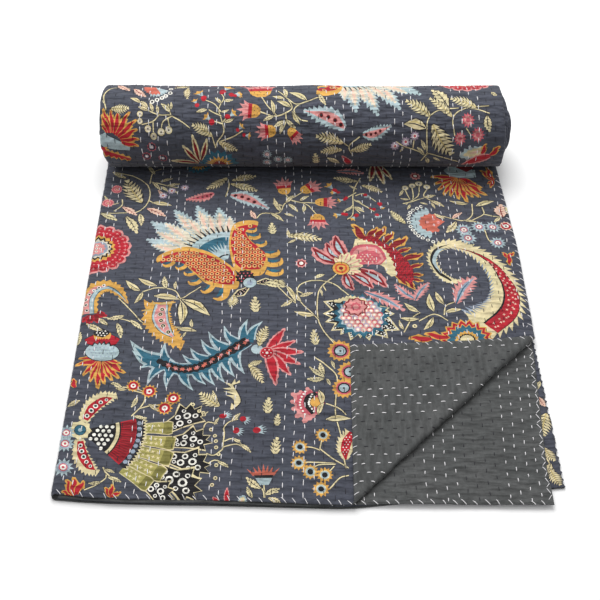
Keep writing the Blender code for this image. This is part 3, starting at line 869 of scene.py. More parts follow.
ROLL_MOTIFS = placed("""
    flame -322 272 -338 235 0.5, -321 272 -324 235 0.5, -319 274 -309 235 0.5, -316 275 -292 240 0.5
    flame -313 277 -280 252 0.5, -310 280 -279 266 0.6, -308 283 -277 281 0.6, -307 286 -279 292 0.6
    flame -327 272 -339 244 0.6, -331 272 -339 259 0.7
    fern -324 236 -294 235 1
    leaf -335 228 -339 222 0.9
    pink_leaf -289 194 -266 214 0.9, -320 179 -295 200 0.8
    fern -195 180 -220 186 0.8, -197 186 -196 217 0.8
    plain -274 226 -293 217 0.9
    leaf -262 235 -274 223 0.9, -253 241 -259 226 0.8, -245 244 -247 229 0.8, -261 239 -278 233 0.8
    leaf -224 241 -240 227 0.8, -223 237 -223 224 0.8
    fern -154 277 -187 260 1, -143 286 -113 300 0.9
    gold_bud -166 218 -181 198 1, -179 231 -185 217 1, -152 256 -167 245 1, -128 250 -113 239 1
    gold_bud -138 204 -124 179 1, -124 209 -103 206 1
    leaf -162 237 -180 241 0.8, -138 227 -149 215 0.8, -135 221 -118 219 0.8, -138 241 -125 237 0.7
    leaf -133 256 -116 251 0.7
    stick -182 331 -229 322 0.8, -181 328 -206 291 0.9, -180 322 -188 274 0.8, -177 322 -163 280 0.8
    bell -71 213 -74 169 1.6, -72 239 -111 236 1.1, -46 269 -81 271 1, -24 266 -4 288 1
    gold_bud -117 211 -102 206 1.1, -112 269 -101 259 1.1, -102 275 -88 277 1.1
    plain 7 221 -23 202 0.9, -30 218 -52 211 0.8, -20 233 -44 222 0.9, -49 244 -54 219 0.8
    leaf -49 247 -67 254 0.8
    plain -18 239 -5 260 0.8
    leaf -29 252 -12 265 0.7, -30 255 -49 263 0.8, -34 259 -39 274 0.8, -28 214 -32 191 0.8
    leaf 28 208 39 230 0.8
    plume 72 266 2 236 1, 100 275 150 263 1
    fern 68 288 22 277 0.8, 66 300 30 303 0.9, 81 302 115 290 0.9
    tuft 22 330 20 305 1
    leaf 63 331 41 316 0.8
    spiky 81 335 66 311 1.2
    leaf 246 232 221 195 1.1
    fern 252 248 216 216 0.7, 215 247 175 221 0.9
    plain 208 265 170 259 1.2
    fern 294 233 252 216 0.9, 219 260 255 308 1.1
    leaf 312 246 316 271 1.2, 208 300 200 283 0.8, 207 310 194 295 0.8, 216 331 211 314 0.9
    leaf 223 314 236 322 0.7, 172 295 165 304 0.7
    feather 309 301 268 312 1
    flame 305 307 311 288 1, 320 309 335 292 1
    spiky 320 311 274 335 1
    leaf 324 203 334 210 1.2
""")
ROLL_ROUNDS = placed("""
    ring -255 224 4, -247 220 4, -239 216 4, -233 211 4, -226 204 4, -226 191 4
    berry -275 244 5, -275 255 4.5, -262 266 5.5, -253 277 5.5, -240 271 6, -227 268 6
    ghost -258 294 8, -269 311 8, -242 316 8
    aster -62 308 9, -63 328 9, -44 319 9, -27 321 9
    pink_aster 279 253 12, 266 281 11, 296 275 12
    lilac 189 277 8, 174 286 8, 156 293 8
    red_dot -168 218 4, -179 229 4, -154 256 5, -128 248 4, -138 204 4, -122 208 4
""")


# ---------------------------------------------------------------- the large motifs, in millimetres
def fan_spray(pen):
    """Ivory feathers with pale blue ones between them, round a blue fan."""
    x, y = centre = np.array((-125, 430))
    blue = ((-259, 481), (-255, 523), (-218, 552), (-180, 562), (-143, 557))
    ivory = ((-248, 468), (-243, 498), (-231, 519), (-211, 540), (-194, 531), (-176, 548), (-159, 538),
             (-142, 545), (-124, 535))
    for tips, colour, half in ((blue, "pale_blue", 11), (ivory, "ivory", 8)):
        for tip in tips:
            root = centre + 0.5 * (tip - centre)
            wide = half / np.hypot(*(tip - root))
            widths = (1.1 * wide, wide, 0.8 * wide, 0.4 * wide, 0)
            spikes = (0, 0.04, 0.07, 0.05, 0.02)
            feathered = band([(0, 0), (0.6, 0), (1, 0)], widths, teeth=(8, 8), spike=spikes, lean=1.1)
            feather_pen = Pen(pen.shapes, root, tip)
            if colour == "ivory":
                feather_pen.draw("pale_blue", feathered * (1.03, 1.22))
            feather_pen.draw(colour, feathered)
            if colour == "ivory":
                feather_pen.band("blush", [(0.2, 0.05), (0.6, 0.03), (0.95, 0)], (0.0, 0.05, 0.0), steps=4)
    pen.parts(
        x, y, ("pale_blue", 8, 70, 88, 172, 12), ("teal", 20, 56, 90, 168, 10),
        ("pale_blue", 24, 46, 92, 162, 9, -18), ("pale_blue", 6, 26, 80, 170, 6),
        ("black", 14, 17, 84, 168, 6),
    )
    for c, s in ways(np.arange(90, 172, 6.5)):
        tick = [(x + 68 * c, y + 68 * s), (x + 83 * c - 3 * s, y + 83 * s + 3 * c)]
        pen.band("black", tick, (1.9, 0.8), steps=2)


def wings(pen):
    """Two orange wings full of ringed dots, with gold rims and crooks."""
    left = [(-115, 417), (-137, 438), (-160, 454), (-191, 464), (-218, 455), (-237, 441), (-237, 428),
            (-228, 432), (-201, 430), (-177, 406), (-158, 384), (-136, 374), (-109, 372), (-105, 393)]
    right = [(-114, 414), (-123, 459), (-123, 490), (-117, 516), (-97, 526), (-80, 526), (-77, 519),
             (-92, 514), (-98, 502), (-90, 481), (-75, 463), (-62, 443), (-62, 419), (-72, 400), (-101, 402)]
    pen.motifs(curl, -1.25, (-97, 514, -77, 516), (-97, 502, -79, 502), (-92, 486, -72, 488),
               (-80, 468, -62, 472), (-65, 445, -41, 450), (-62, 426, -36, 430), (-63, 408, -36, 406))
    pen.motifs(curl, 1.25, (-210, 430, -225, 419), (-189, 424, -204, 413), (-174, 406, -192, 402),
               (-165, 389, -183, 381), (-145, 378, -160, 363), (-123, 372, -136, 347))
    for outline in (left, right):
        rim = smooth(outline + outline[:1], 4 * len(outline))[:-1]
        middle = rim.mean(axis=0)
        inner = middle + (rim - middle) * (0.90, 0.80)
        pen.draw("gold", rim)
        pen.draw("red", inner)
        spots = hexagonal(inner, 8.8, 2.4)
        pen.dots(spots, ("gold", 3.9), ("cream", 2.7), ("orange", 2.2), ("black", 1.5), count=7)
    pen.rings(-96, 397, ("black", 16, 13, 12))
    pen.dots(hexagonal(around(-96, 397, 14), 6, 1), ("rose", 1.5), count=5)
    pen.motifs(spotted_leaf, 1, (-78, 385, -47, 387), (-89, 376, -115, 355))
    pen.motifs(fern, 1.4, (-50, 391, -33, 377), (-112, 359, -116, 335))
    pen.dots([(-88, 385)], ("dark", 11.5), ("pale_blue", 10.5), ("grey_blue", 5), count=12)


def spotted_leaf(pen):
    """A black leaf with a cream rim and pink spots."""
    pen.band("cream", [(0, 0), (0.5, 0.05), (1.1, 0)], (0.06, 0.25, 0.03), steps=8)
    pen.band("black", [(0.05, 0), (0.5, 0.05), (0.95, 0)], (0.03, 0.18, 0.0), steps=8)
    spots = [(0.2, 0.02), (0.36, 0.09), (0.36, -0.02), (0.52, 0.1), (0.52, 0.0), (0.68, 0.05)]
    pen.dots(spots, ("blush", 0.035), count=4)


def comb_fern(pen):
    """A cream fern that curls like a comb, with its teeth on one side."""
    spine = [(-106, 144), (-96, 157), (-101, 172), (-107, 186), (-95, 191)]
    pen.band("dark", spine, (3, 7, 7, 5, 1), (3, 5, 5, 3, 1), steps=10)
    spikes = (4, 13, 14, 9, 3)
    pen.band("cream", spine, (1, 1, 1, 1, 0), (1, 3, 3, 2, 0), teeth=(9, 0), spike=spikes, lean=0.7)


def half_flower(pen):
    """A scalloped red flower at the left fold, in rings of gold, black, grey and pink."""
    x, y = (-337, 457)
    for radius, colour in ((54, "pink"), (50, "red")):
        for c, s in ways(np.arange(-150, 170, 20)):
            pen.rings(x + 0.86 * radius * c, y + 0.86 * radius * s, (colour, radius * 0.19, None, 8))
        pen.rings(x, y, (colour, radius * 0.88, None, 24))
    for radius, reach in ((46, 3.4), (37, 2.4)):
        for angle in np.radians(np.arange(-150, 170, 10)):
            place = (x + radius * math.cos(angle), y + radius * math.sin(angle))
            pen.rings(*place, ("pink", reach, 1.0, 4, angle))
    pen.rings(x, y, ("gold", 31, 27, 20), ("black", 27, 22, 16), ("ivory", 23, 19, 16),
              ("grey_blue", 18, None, 16), ("pink", 15, 12, 10))
    cross = [(x + 6 * c, y + 7 * s) for c, s in ((1, 0), (0, 1), (-1, 0), (0, -1), (0, 0))]
    pen.dots(cross, ("white", 2.2), ("black", 1.1), count=6)


def crescent(pen):
    """A gold hook with a blue line and ringed dots, and a red tuft below."""
    spine = [(-331, 316), (-334, 345), (-326, 367), (-309, 374), (-291, 363), (-274, 339)]
    left, right = (11, 13, 13, 11, 8, 0), (11, 11, 10, 8, 6, 0)
    pen.band("gold", spine, left, right, teeth=(16, 12), spike=(2, 4, 4, 1), lean=0.3)
    pen.band("teal", spine, (1, 2, 2, 1, 1, 0), (7, 7, 7, 5, 3, 0), steps=20)
    pen.band("pale_blue", spine, (0, 0, -1, -1, 0), (6, 6, 5, 4, 0), steps=18)
    pen.band("pink", spine[:4], (9, 9, 7, 0), (0, -1, -1, 0), steps=12)
    dots = smooth([(-336, 322), (-340, 345), (-330, 364), (-316, 376)], 6)
    pen.dots(dots, ("white", 3), ("black", 1.9), count=7)
    pen.motifs(red_flame, 1.3, (-330, 312, -340, 299), (-327, 313, -332, 294), (-323, 315, -316, 298),
               (-320, 317, -304, 313))


def fringe_paisley(pen):
    """A gold-fringed paisley with a pink heart of ringed dots."""
    spine = [(-227, 343), (-227, 313), (-219, 290), (-204, 273), (-185, 259)]
    left, right = (15, 18, 16, 15, 4), (12, 21, 15, 10, 4)
    pen.band("gold", spine, left, right, teeth=(14, 14), spike=(3, 5, 5, 3), lean=0.3)
    pen.motifs(gold_tail, 1, (-237, 333, -251, 349), (-212, 334, -204, 348), (-191, 263, -187, 248),
               (-202, 267, -198, 252))
    heart = [(-222, 339), (-223, 313), (-215, 292), (-200, 275)]
    pen.band("dark", heart, (10, 13, 11, 3), (11, 13, 10, 3), steps=14)
    pen.band("pale_blue", heart, (9, 12, 10, 2), (10, 12, 9, 2), steps=14)
    pen.band("pink", heart, (6, 9, 7, 1), (7, 9, 6, 1), steps=14)
    dots = [(-221, 329), (-223, 319), (-221, 307), (-217, 296), (-208, 284)]
    pen.dots(dots, ("ivory", 4.4), ("black", 3.2), ("cream", 1.2), count=7)
    pen.motifs(straw_flame, 0.5, (-236, 329, -253, 326), (-225, 339, -201, 344), (-232, 337, -238, 347))


def seed_head(pen):
    """A dotted black top, a zigzag collar, a pale blue ball and flames below."""
    pen.petals(flame, 0.55, (-302, 231), (-337, 228), (-340, 215), (-327, 197), (-315, 186), (-302, 175),
               (-293, 183), (-282, 190), (-272, 194), (-264, 204), (-271, 222))
    middle, ball = (-303, 243), around(0, 0, 1, count=20)
    pen.draw("dark", ball * (27, 18) + middle)
    pen.draw("pale_blue", ball * (25.5, 16.5) + middle)
    pen.dots(hexagonal(ball * (22, 13) + middle, 6, 1), ("grey_blue", 1.3), count=5)
    collar = [(-330, 261), (-318, 268), (-307, 271), (-294, 270), (-281, 264)]
    pen.band("black", collar, (5, 9, 5), (8, 10, 8), teeth=(0, 5), spike=(6, 6), lean=0.0, steps=8)
    pen.band("red", collar, (4, 8, 4), (6, 8, 6), teeth=(0, 5), spike=(5, 5), lean=0.0, steps=8)
    pen.band("gold", collar[1:4], (7, 9, 7), (1, 2, 1), teeth=(6, 6), spike=(3, 3), lean=0.0)
    top = band([(-320, 277), (-307, 279), (-297, 280)], (3, 9, 3), steps=8)
    pen.draw("black", top)
    pen.dots(hexagonal(top, 5, 1), ("white", 1.5), count=5)


def teal_frond(pen):
    """A long teal frond with pale spikes on both sides and a pink and black spine."""
    spine = [(-220, 231), (-189, 215), (-158, 218), (-124, 240), (-87, 268)]
    above = [(-219, 235, -264, 267), (-221, 228, -259, 248), (-200, 224, -211, 265), (-159, 227, -184, 242),
             (-148, 234, -174, 255), (-132, 245, -158, 270), (-119, 255, -148, 285), (-103, 266, -125, 297),
             (-90, 272, -89, 311), (-81, 276, -66, 307)]
    below = [(-218, 224, -245, 214), (-211, 219, -231, 184), (-196, 211, -202, 178), (-178, 207, -162, 175),
             (-161, 210, -144, 185), (-147, 217, -131, 184), (-132, 223, -117, 189), (-118, 234, -103, 200),
             (-104, 246, -89, 206)]
    for side, bend in ((above, 0.16), (below, -0.12)):
        for spike in side:
            pen.at(spike).band("pale_blue", [(-0.2, 0), (0.4, bend), (1, 0)], (0.27, 0.17, 0.0), steps=7)
    pen.band("pale_blue", spine, (7, 11, 11, 13, 10), (7, 11, 13, 13, 10), steps=20)
    pen.band("teal", spine, (6, 9, 9, 11, 9), (6, 9, 11, 11, 9), steps=20)
    for side, bend in ((above, 0.13), (below, -0.10)):
        for spike in side:
            bent = [(-0.35, 0), (0.3, bend), (0.74, bend * 0.7)]
            pen.at(spike).band("teal", bent, (0.22, 0.10, 0.0), steps=5)
    pen.band("black", spine, (3, 6, 6, 6, 7), teeth=(16, 16), spike=(2, 2), lean=0.0)
    for i, (x, y) in enumerate(smooth(spine, 24)[3:]):
        pen.rings(x + 1.6 * (-1) ** i, y, ("coral" if i % 3 else "pink", 4.0, 1.8, 5, i))
    pen.dots([(-73, 252)], ("dark", 10), ("pale_blue", 9), count=12)


def star_flower(pen):
    """Long red petals to the right of a dotted eye, and two cream fronds."""
    pen.motifs(fern, 1, (-70, 259, -60, 296), (-65, 231, -84, 224))
    pen.motifs(fern, 0.8, (-84, 224, -62, 192))
    pen.petals(spiky, 0.85, (-56, 246), (-32, 294), (-15, 270), (-3, 249), (-7, 225), (-21, 205), (-43, 187))
    pen.dots([(-58, 246)], ("pink", 11), ("red", 9.5), ("white", 2.2), count=12)
    dots = [(-58 + 6 * math.cos(angle), 246 + 6 * math.sin(angle)) for angle in np.arange(0, 6.2, 1.05)]
    pen.dots(dots, ("white", 1), count=5)


def thistle(pen):
    """A pink thistle on a gold eye, with a spotted dark red wedge that ends in gold flames."""
    wedge = [(95, 491), (110, 491), (128, 475), (146, 459), (162, 437), (170, 415), (170, 396), (164, 383),
             (145, 402), (131, 433), (114, 459), (95, 475)]
    pen.motifs(dark_flame, 0.85, (99, 482, 79, 519), (103, 487, 121, 510), (115, 482, 134, 512),
               (128, 475, 146, 500), (137, 461, 168, 489), (149, 452, 171, 464), (157, 437, 190, 450),
               (166, 419, 188, 428), (168, 404, 186, 404), (165, 394, 185, 391), (157, 394, 171, 373),
               (141, 407, 161, 381))
    pen.draw("dark_red", wedge)
    for x, y in hexagonal(np.array(wedge), 6.6, 1.2):
        pen.rings(x, y, ("red", 3.0, None, 6))
        pen.rings(x + 0.8, y - 0.8, ("black", 1.2, None, 5))
    spine = [(79, 473), (98, 468), (117, 455), (128, 433), (139, 402)]
    pen.band("cream", spine, (11, 10, 10, 9, 4), teeth=(12, 6), spike=(3, 3))
    pen.band("rose", [(76, 433), (91, 446), (107, 446), (125, 433)], (12, 24, 25, 8), steps=12)
    pen.band("pink", [(79, 433), (92, 444), (106, 444), (122, 433)], (9, 20, 21, 6), steps=12)
    middle = [(83, 431), (95, 442), (108, 441), (117, 433)]
    pen.band("rose", middle, (6, 13, 13, 4), teeth=(6, 6), spike=(2, 2))
    heart = band([(83, 431), (97, 442), (115, 433)], (5, 13, 4), steps=8)
    pen.dots(hexagonal(heart, 6, 1), ("blush", 1.4), count=5)
    pen.motifs(petal, 0.9, (51, 429, 9, 462), (57, 437, 32, 473), (66, 440, 47, 491))
    pen.motifs(petal, -0.9, (62, 407, 73, 371))
    pen.motifs(petal, 0.8, (71, 407, 106, 377), (86, 415, 128, 379))
    eye = (56, 418)
    pen.petals(cream_ray, 1, eye, (47, 442), (59, 451), (70, 453), (81, 448), (89, 437), (91, 424), (87, 411),
               (76, 405))
    pen.dots([eye], ("dark", 14.5), ("gold", 13.5), ("orange", 10), ("gold", 7), ("dark_red", 3.5), count=14)


def scale_bloom(pen):
    """Pink scales in a teal ring with a spiky black and white rim."""
    x, y = (83, 324)
    tips = ((26, 348), (25, 324), (28, 307), (37, 289), (51, 282), (66, 272), (81, 276), (95, 272), (109, 281),
            (123, 276), (129, 291), (141, 291), (131, 308), (135, 324), (128, 336))
    for colour, grow in (("cream", 1.0), ("black", 0.93)):
        for tip in tips:
            end = (x + (tip[0] - x) * grow, y + (tip[1] - y) * grow)
            Pen(pen.shapes, (x, y), end).band(colour, [(0.4, 0), (1, 0)], (0.36 * grow, 0.0), steps=3)
    for tip in tips:
        for share, reach in ((0.64, 5.0), (0.72, 3.4), (0.8, 2.2), (0.88, 0.8)):
            dot_x, dot_y = x + (tip[0] - x) * share, y + (tip[1] - y) * share
            pen.dots([(dot_x - reach, dot_y), (dot_x + reach, dot_y + 1)], ("white", 1.3), count=5)
    pen.rings(x, y - 4, ("teal", 45, 35, 17))
    ring = around(x, y - 2, 36, 31, 17)
    pen.draw("pale_blue", ring)
    for row, (x, y) in enumerate(hexagonal(ring, 8.6, 1.5)[::-1]):
        pen.rings(x, y, (("lilac", "rose", "pink")[row % 3], 5.0, None, 8))
        pen.dots([(x, y - 0.8)], ("blush", 3.4), ("white", 1.8), count=6)
    pen.band("cream", [(43, 347), (68, 355), (92, 350)], (1, 3, 1), teeth=(9, 4), spike=(3, 3))
    pen.rings(76, 338, ("dark_red", 19, 16, 9), ("pink", 17, 13, 9), ("rose", 9, 7, 9), ("pink", 5, 4, 9))


def flame_flower(pen):
    """Red and gold flames under a pale blue cap."""
    pen.petals(flame, 0.5, (273, 635), (223, 636), (226, 617), (231, 602), (239, 590), (250, 585), (263, 577),
               (277, 570), (289, 582), (301, 582), (314, 587), (309, 607))
    cap = [(248, 654), (258, 638), (273, 633), (289, 633), (303, 635), (304, 654), (283, 664), (262, 664)]
    pen.draw("pale_blue", cap)
    pen.draw("dark_red", [(270, 662), (288, 649), (303, 659), (298, 670)])
    pen.petals(flame, 0.7, (331, 628), (313, 654), (325, 662), (317, 638), (319, 617), (323, 607), (336, 633))


def dotted_rosette(pen):
    """A pale blue and coral half rosette inside an arc of ringed dots."""
    x, y = (212, 521)
    pen.parts(x, y, ("pale_blue", 8, 32, 95, 262, 14, 6), ("coral", 0, 20, 60, 300, 10, 3))
    pen.draw("coral", [(x, y + 18), (233, 524), (x, y - 17)])
    pen.dots([(x + 3, y + 8), (x - 8, y + 2), (x + 2, y - 5), (x + 10, y + 1)], ("pink", 3), count=5)
    arc = smooth([(198, 560), (180, 548), (173, 529), (177, 505), (188, 489), (208, 477)], 13)
    pen.dots(arc, ("white", 3.4), ("dark", 1.7), count=8)


def curling_horn(pen):
    """A fringed cream feather that curls over and widens, with a red scrolled blade in its back."""
    spine = [(251, 391), (228, 391), (211, 408), (202, 437), (211, 461), (236, 473), (266, 461), (291, 434),
             (308, 400), (312, 364), (302, 333), (276, 312), (248, 306)]
    inner = (1, 5, 5, 5, 5, 6, 8, 10, 14, 19, 21, 18, 12)
    outer = (1, 5, 5, 5, 6, 6, 7, 11, 15, 18, 24, 28, 26)
    blue = (8, 10, 12, 17, 23, 27, 24, 16)
    pen.band("grey_blue", spine[5:], (0, 2, 3), blue, teeth=(0, 26), spike=(2, 6, 9, 13), lean=1.0, steps=20)
    pen.band("cream", spine, outer, inner, teeth=(48, 48), spike=(2, 4, 6, 9, 12, 9), lean=0.8)
    blade = [(237, 468), (271, 452), (296, 430), (313, 395), (319, 360), (310, 325), (280, 294)]
    pen.band("black", blade, (0, 2, 4, 8, 12, 13, 12), (0, 1, 4, 9, 13, 17, 17), steps=24)
    pen.band("red", blade, (0, 1, 3, 7, 11, 12, 11), (0, 0, 2, 7, 10, 14, 14), steps=24)
    pen.band("black", spine[1:6], (1, 3, 3, 2, 0), (2, 4, 4, 2, 0), steps=14)
    pen.band("pale_blue", [(214, 406), (205, 432), (214, 457), (227, 463)], (0, 3, 3, 0), steps=10)
    for number, (x, y) in enumerate(smooth(blade[2:], 14)):
        for right, up, reach in ((-5, 2, 3.0), (1, -3, 2.4), (6, 4, 2.8)):
            pen.rings(x + right, y + up, ("blush", reach, 1.0, 4, number))


def zigzag_flower(pen):
    """A half flower of red and gold zigzags round teal, black and cream."""
    for colour, high, tooth in (("gold", 35, 7), ("red", 32, 7), ("gold", 27, 6), ("teal", 25, 6),
                                ("pale_blue", 17, 0), ("gold", 16, 3), ("black", 12, 2), ("cream", 10, 1)):
        pen.parts(241, 271, (colour, 0, high, -8, 188, 10, tooth))


def great_fan(pen):
    """A round-headed fan: dots, red ribs, a zigzag band, olive petals and black tips."""
    pen.motifs(black_tip, 0.95, (-194, 113, -144, 144), (-186, 89, -131, 94), (-187, 65, -129, 47),
               (-199, 44, -141, 6), (-218, 27, -177, -4))
    pen.motifs(olive_petal, 0.9, (-232, 111, -187, 112), (-230, 92, -182, 86), (-232, 74, -184, 61),
               (-239, 58, -193, 36), (-250, 45, -210, 20))
    x, y = (-317, 103)
    low, high = math.degrees(math.atan2(44 - y, -247 - x)), 3 + math.degrees(math.atan2(124 - y, -232 - x))
    for colour, inner, outer, tooth in (("cream", 78, 92, 4), ("black", 78, 89, 4), ("dark", 76, 89, 0),
                                        ("red", 57, 80, 0), ("black", 50, 58, 0), ("cream", 50, 56, 0),
                                        ("black", 14, 51, 0)):
        pen.parts(x, y, (colour, inner, outer, low, high, 18, tooth))
    for number, (c, s) in enumerate(ways(np.linspace(low + 3, high - 3, 17))):
        pen.band("dark_red", [(x + 58 * c, y + 58 * s), (x + 79 * c, y + 79 * s)], (0.8, 2.1), steps=2)
        if number % 2:
            pen.rings(x + 84 * c, y + 84 * s, ("grey_blue", 3.6, None, 6))
    pen.dots(hexagonal(fan_part(x, y, 17, 50, low - 3, high + 3, 12), 8.2, 1.4), ("white", 2.8), count=8)
    pen.rings(x, y, ("cream", 17, 13.5, 8))
    pen.dots([(x, y)], ("dark", 9), ("teal", 8), ("pale_blue", 3), count=12)


def rimmed_bloom(pen):
    """A pink bloom seen from the side, with a dotted black rim and a gold eye."""
    pen.petals(pink_spiky, 1.5, (13, 159), (2, 186), (-9, 179), (-21, 174), (-22, 160), (-20, 146), (-14, 133),
               (-2, 124), (7, 132))
    pen.rings(7, 159, ("rose", 22, 19, 12))
    pen.band("black", [(16, 176), (6, 167), (4, 155), (12, 140)], (3, 6, 6, 3), steps=10)
    for line in ([(0, 178), (-6, 165), (-7, 152), (0, 139)], [(10, 173), (6, 162), (6, 154), (13, 144)]):
        pen.dots(smooth(line, 8), ("white", 1.7), count=6)
    pen.dots([(16, 159)], ("gold", 9), count=12)


def red_cone(pen):
    """A red dotted cone in a cream flame at the crease."""
    spine = [(58, 67), (57, 81), (60, 96), (67, 110)]
    pen.band("cream", spine, (3, 10, 11, 7), teeth=(10, 10), spike=(3, 5), lean=0.8)
    pen.band("red", spine, (1, 6, 7, 4), steps=10)
    pen.dots(hexagonal(band(spine, (1, 5, 6, 3), steps=10), 4.6, 1), ("white", 1.0), count=5)


def burst(pen, x=-182, y=670, size=1.0):
    """A half flower of gold spikes in a teal collar at the roll's foot."""
    for colour, high, tooth in (("teal", 21, 5), ("gold", 12, 6), ("dark_red", 7, 3)):
        pen.parts(x, y, (colour, 0, high * size, 180, 360, 9, tooth * size))


LARGE = [
    half_flower, crescent, fringe_paisley, seed_head, great_fan, teal_frond, comb_fern, star_flower, fan_spray,
    wings, thistle, scale_bloom, flame_flower, dotted_rosette, curling_horn, zigzag_flower, rimmed_bloom,
    red_cone, burst,
]


def rolled_cup(pen):
    """The pale blue cup and red zigzag collar under the flames at the roll's left end."""
    cup = [(-339, 274), (-333, 283), (-316, 289), (-295, 296)]
    pen.band("dark", cup, (11, 13, 11, 5), (7, 9, 8, 3), steps=10)
    pen.band("pale_blue", cup, (10, 12, 10, 4), (6, 8, 7, 2), steps=10)
    collar = [(-339, 294), (-335, 303), (-318, 309), (-297, 318)]
    pen.band("gold", collar, (7, 7, 6, 3), (3, 3, 3, 2), teeth=(7, 7), spike=(4, 4), lean=0.0)
    pen.band("red", collar, (4, 5, 4, 1), (2, 2, 2, 1), teeth=(7, 0), spike=(4, 4), lean=0.0, steps=8)


def rolled_rosette(pen):
    """A small pale blue and coral half rosette."""
    pen.parts(-252, 188, ("pale_blue", 0, 22, 20, 110, 8, 5), ("coral", 0, 19, 60, 190, 8, 3))


def rolled_burst(pen):
    """The burst that comes again on the roll."""
    burst(pen, -146, 335, 1.4)


LARGE_ROLLED = [rolled_cup, rolled_rosette, rolled_burst]
# Motifs of the top layer that come again over the top of the roll, turned half round.
OVER_ROLL = [half_flower, fan_spray, wings]

# The strip of print at the right fold: millimetres from the fold into the third layer, and from the near hem.
STRIP_VINES = stems("""
    17 54 13 38 8 22 5 4, 15 120 14 104 10 84
""")
STRIP_MOTIFS = placed("""
    fern 3 122 14 84 1.2, 16 64 5 42 1.3
    leaf 11 38 18 20 1.2
    fern 13 28 4 3 1.3
    pink_leaf 9 152 2 134 1.2
    leaf 2 180 8 166 1
""")


def drawn(functions=(), vines=(), motifs=(), rounds=()):
    """Shapes of the print in painter's order: stems, large motifs, then small ones and round flowers."""
    pen = Pen([])
    for points in vines:
        vine(pen, points)
    for draw in functions:
        draw(pen)
    for name, *place, wide in motifs:
        MOTIFS[name](pen.at(place, wide))
    for name, x, y, radius in rounds:
        pen.at((x, y, x + radius, y)).rings(0, 0, *ROUNDS[name])
    return pen.shapes


def laid(shapes, to_flat, b_range):
    """Shapes in the quilt's flat metres, a and b, if they reach into a range of b."""
    flat = [(np.stack(to_flat(*(outline.T / 1000)), axis=1), colour) for outline, colour in shapes]
    low, high = b_range
    return [shape for shape in flat if shape[0][:, 1].max() > low and shape[0][:, 1].min() < high]


UNDER_END = 0.66  # where the underside's print, turned end for end, has its start
LOWER = 0.2  # how much further in the roll's print comes again
TURNED_X, TURNED_Y = 0.053, 0.315  # how far the turned print is shifted across and along the roll


def on_top(x, y):
    """From places on the top layer to the quilt's flat metres."""
    return HALF - x, y


def on_strip(x, y):
    """The same for the strip at the right fold."""
    return FOLD_2 + x, y


def underneath(x, y):
    """The same for the sparse print of the underside, turned end for end."""
    return FOLD_1 + HALF - x, UNDER_END - y


def on_roll(x, y):
    """The same for the roll's outer turn."""
    return FOLD_1 + x - OUTER_LEFT, FLAT_LENGTH + y


def low_on_roll(x, y):
    """The same for the roll's print where it comes again further in."""
    return on_roll(x, y + LOWER)


def turned_on_roll(x, y):
    """The same for the top layer's print where it comes again on the roll, turned half round."""
    return on_roll(-TURNED_X - x, y - TURNED_Y)


OUTER_TURN = 0.47  # length of the roll's outer turn, the only one with a print that can show
LYING, WOUND_PRINT = (0.0, FLAT_LENGTH), (FLAT_LENGTH, FLAT_LENGTH + OUTER_TURN)
BACK_END = FLAT_LENGTH + 0.165  # how far up the back the turned print goes
flat_print = (
    laid(drawn(LARGE, TOP_VINES, TOP_MOTIFS, TOP_ROUNDS), on_top, LYING)
    + laid(drawn((), STRIP_VINES, STRIP_MOTIFS), on_strip, LYING)
    + laid(drawn((), TOP_VINES[::5], TOP_MOTIFS[::5], TOP_ROUNDS[::6]), underneath, LYING)
)
back_motifs = [draw for draw in LARGE if draw not in OVER_ROLL]
back_shapes = laid(drawn(back_motifs, TOP_VINES, TOP_MOTIFS, TOP_ROUNDS), turned_on_roll, WOUND_PRINT)
hidden_shapes = drawn([rolled_cup], ROLL_VINES[::2], ROLL_MOTIFS[::2], ROLL_ROUNDS[::2])
roll_print = (
    laid(hidden_shapes, low_on_roll, WOUND_PRINT)
    + [shape for shape in back_shapes if shape[0][:, 1].mean() < BACK_END]
    + laid(drawn(OVER_ROLL), turned_on_roll, WOUND_PRINT)
    + laid(drawn(LARGE_ROLLED, ROLL_VINES, ROLL_MOTIFS, ROLL_ROUNDS), on_roll, WOUND_PRINT)
)


# ---------------------------------------------------------------- building the cloths
def spread(first, last, step):
    """Even places from first to last, about a step apart."""
    count = max(round((last - first) / step), 1)
    return np.linspace(first, last, count + 1)


def added(name, data):
    """A new object in the scene."""
    obj = bpy.data.objects.new(name, data)
    bpy.context.scene.collection.objects.link(obj)
    return obj


def lattice_points(blocks):
    """Flat points of several blocks, each as (a first, a last, a step, b first, b last, b step)."""
    points = []
    for a0, a1, a_step, b0, b1, b_step in blocks:
        grid_a, grid_b = np.meshgrid(spread(a0, a1, a_step), spread(b0, b1, b_step), indexing="ij")
        points.append(np.stack((grid_a.ravel(), grid_b.ravel()), axis=1))
    return np.unique(np.round(np.concatenate(points), 7), axis=0)


def wound_round(places, outline):
    """Whether each place lies inside an outline, which may cross itself."""
    x, y = places[:, :1], places[:, 1:]
    x1, y1 = outline.T
    x2, y2 = np.roll(x1, -1), np.roll(y1, -1)
    left_of = (x2 - x1) * (y - y1) - (x - x1) * (y2 - y1) > 0
    turns = ((y1 <= y) & (y2 > y) & left_of).sum(axis=1) - ((y1 > y) & (y2 <= y) & ~left_of).sum(axis=1)
    return turns != 0


def top_shapes(middles, shapes):
    """The number of the last drawn shape over each middle, -1 where there is none."""
    order = np.argsort(middles[:, 0])
    sorted_a = middles[order, 0]
    tops = np.full(len(middles), -1)
    for number, (outline, _) in enumerate(shapes):
        low, high = outline.min(axis=0), outline.max(axis=0)
        near = order[np.searchsorted(sorted_a, low[0]) : np.searchsorted(sorted_a, high[0])]
        near = near[(middles[near, 1] > low[1]) & (middles[near, 1] < high[1])]
        tops[near[wound_round(middles[near], outline)]] = number
    return tops


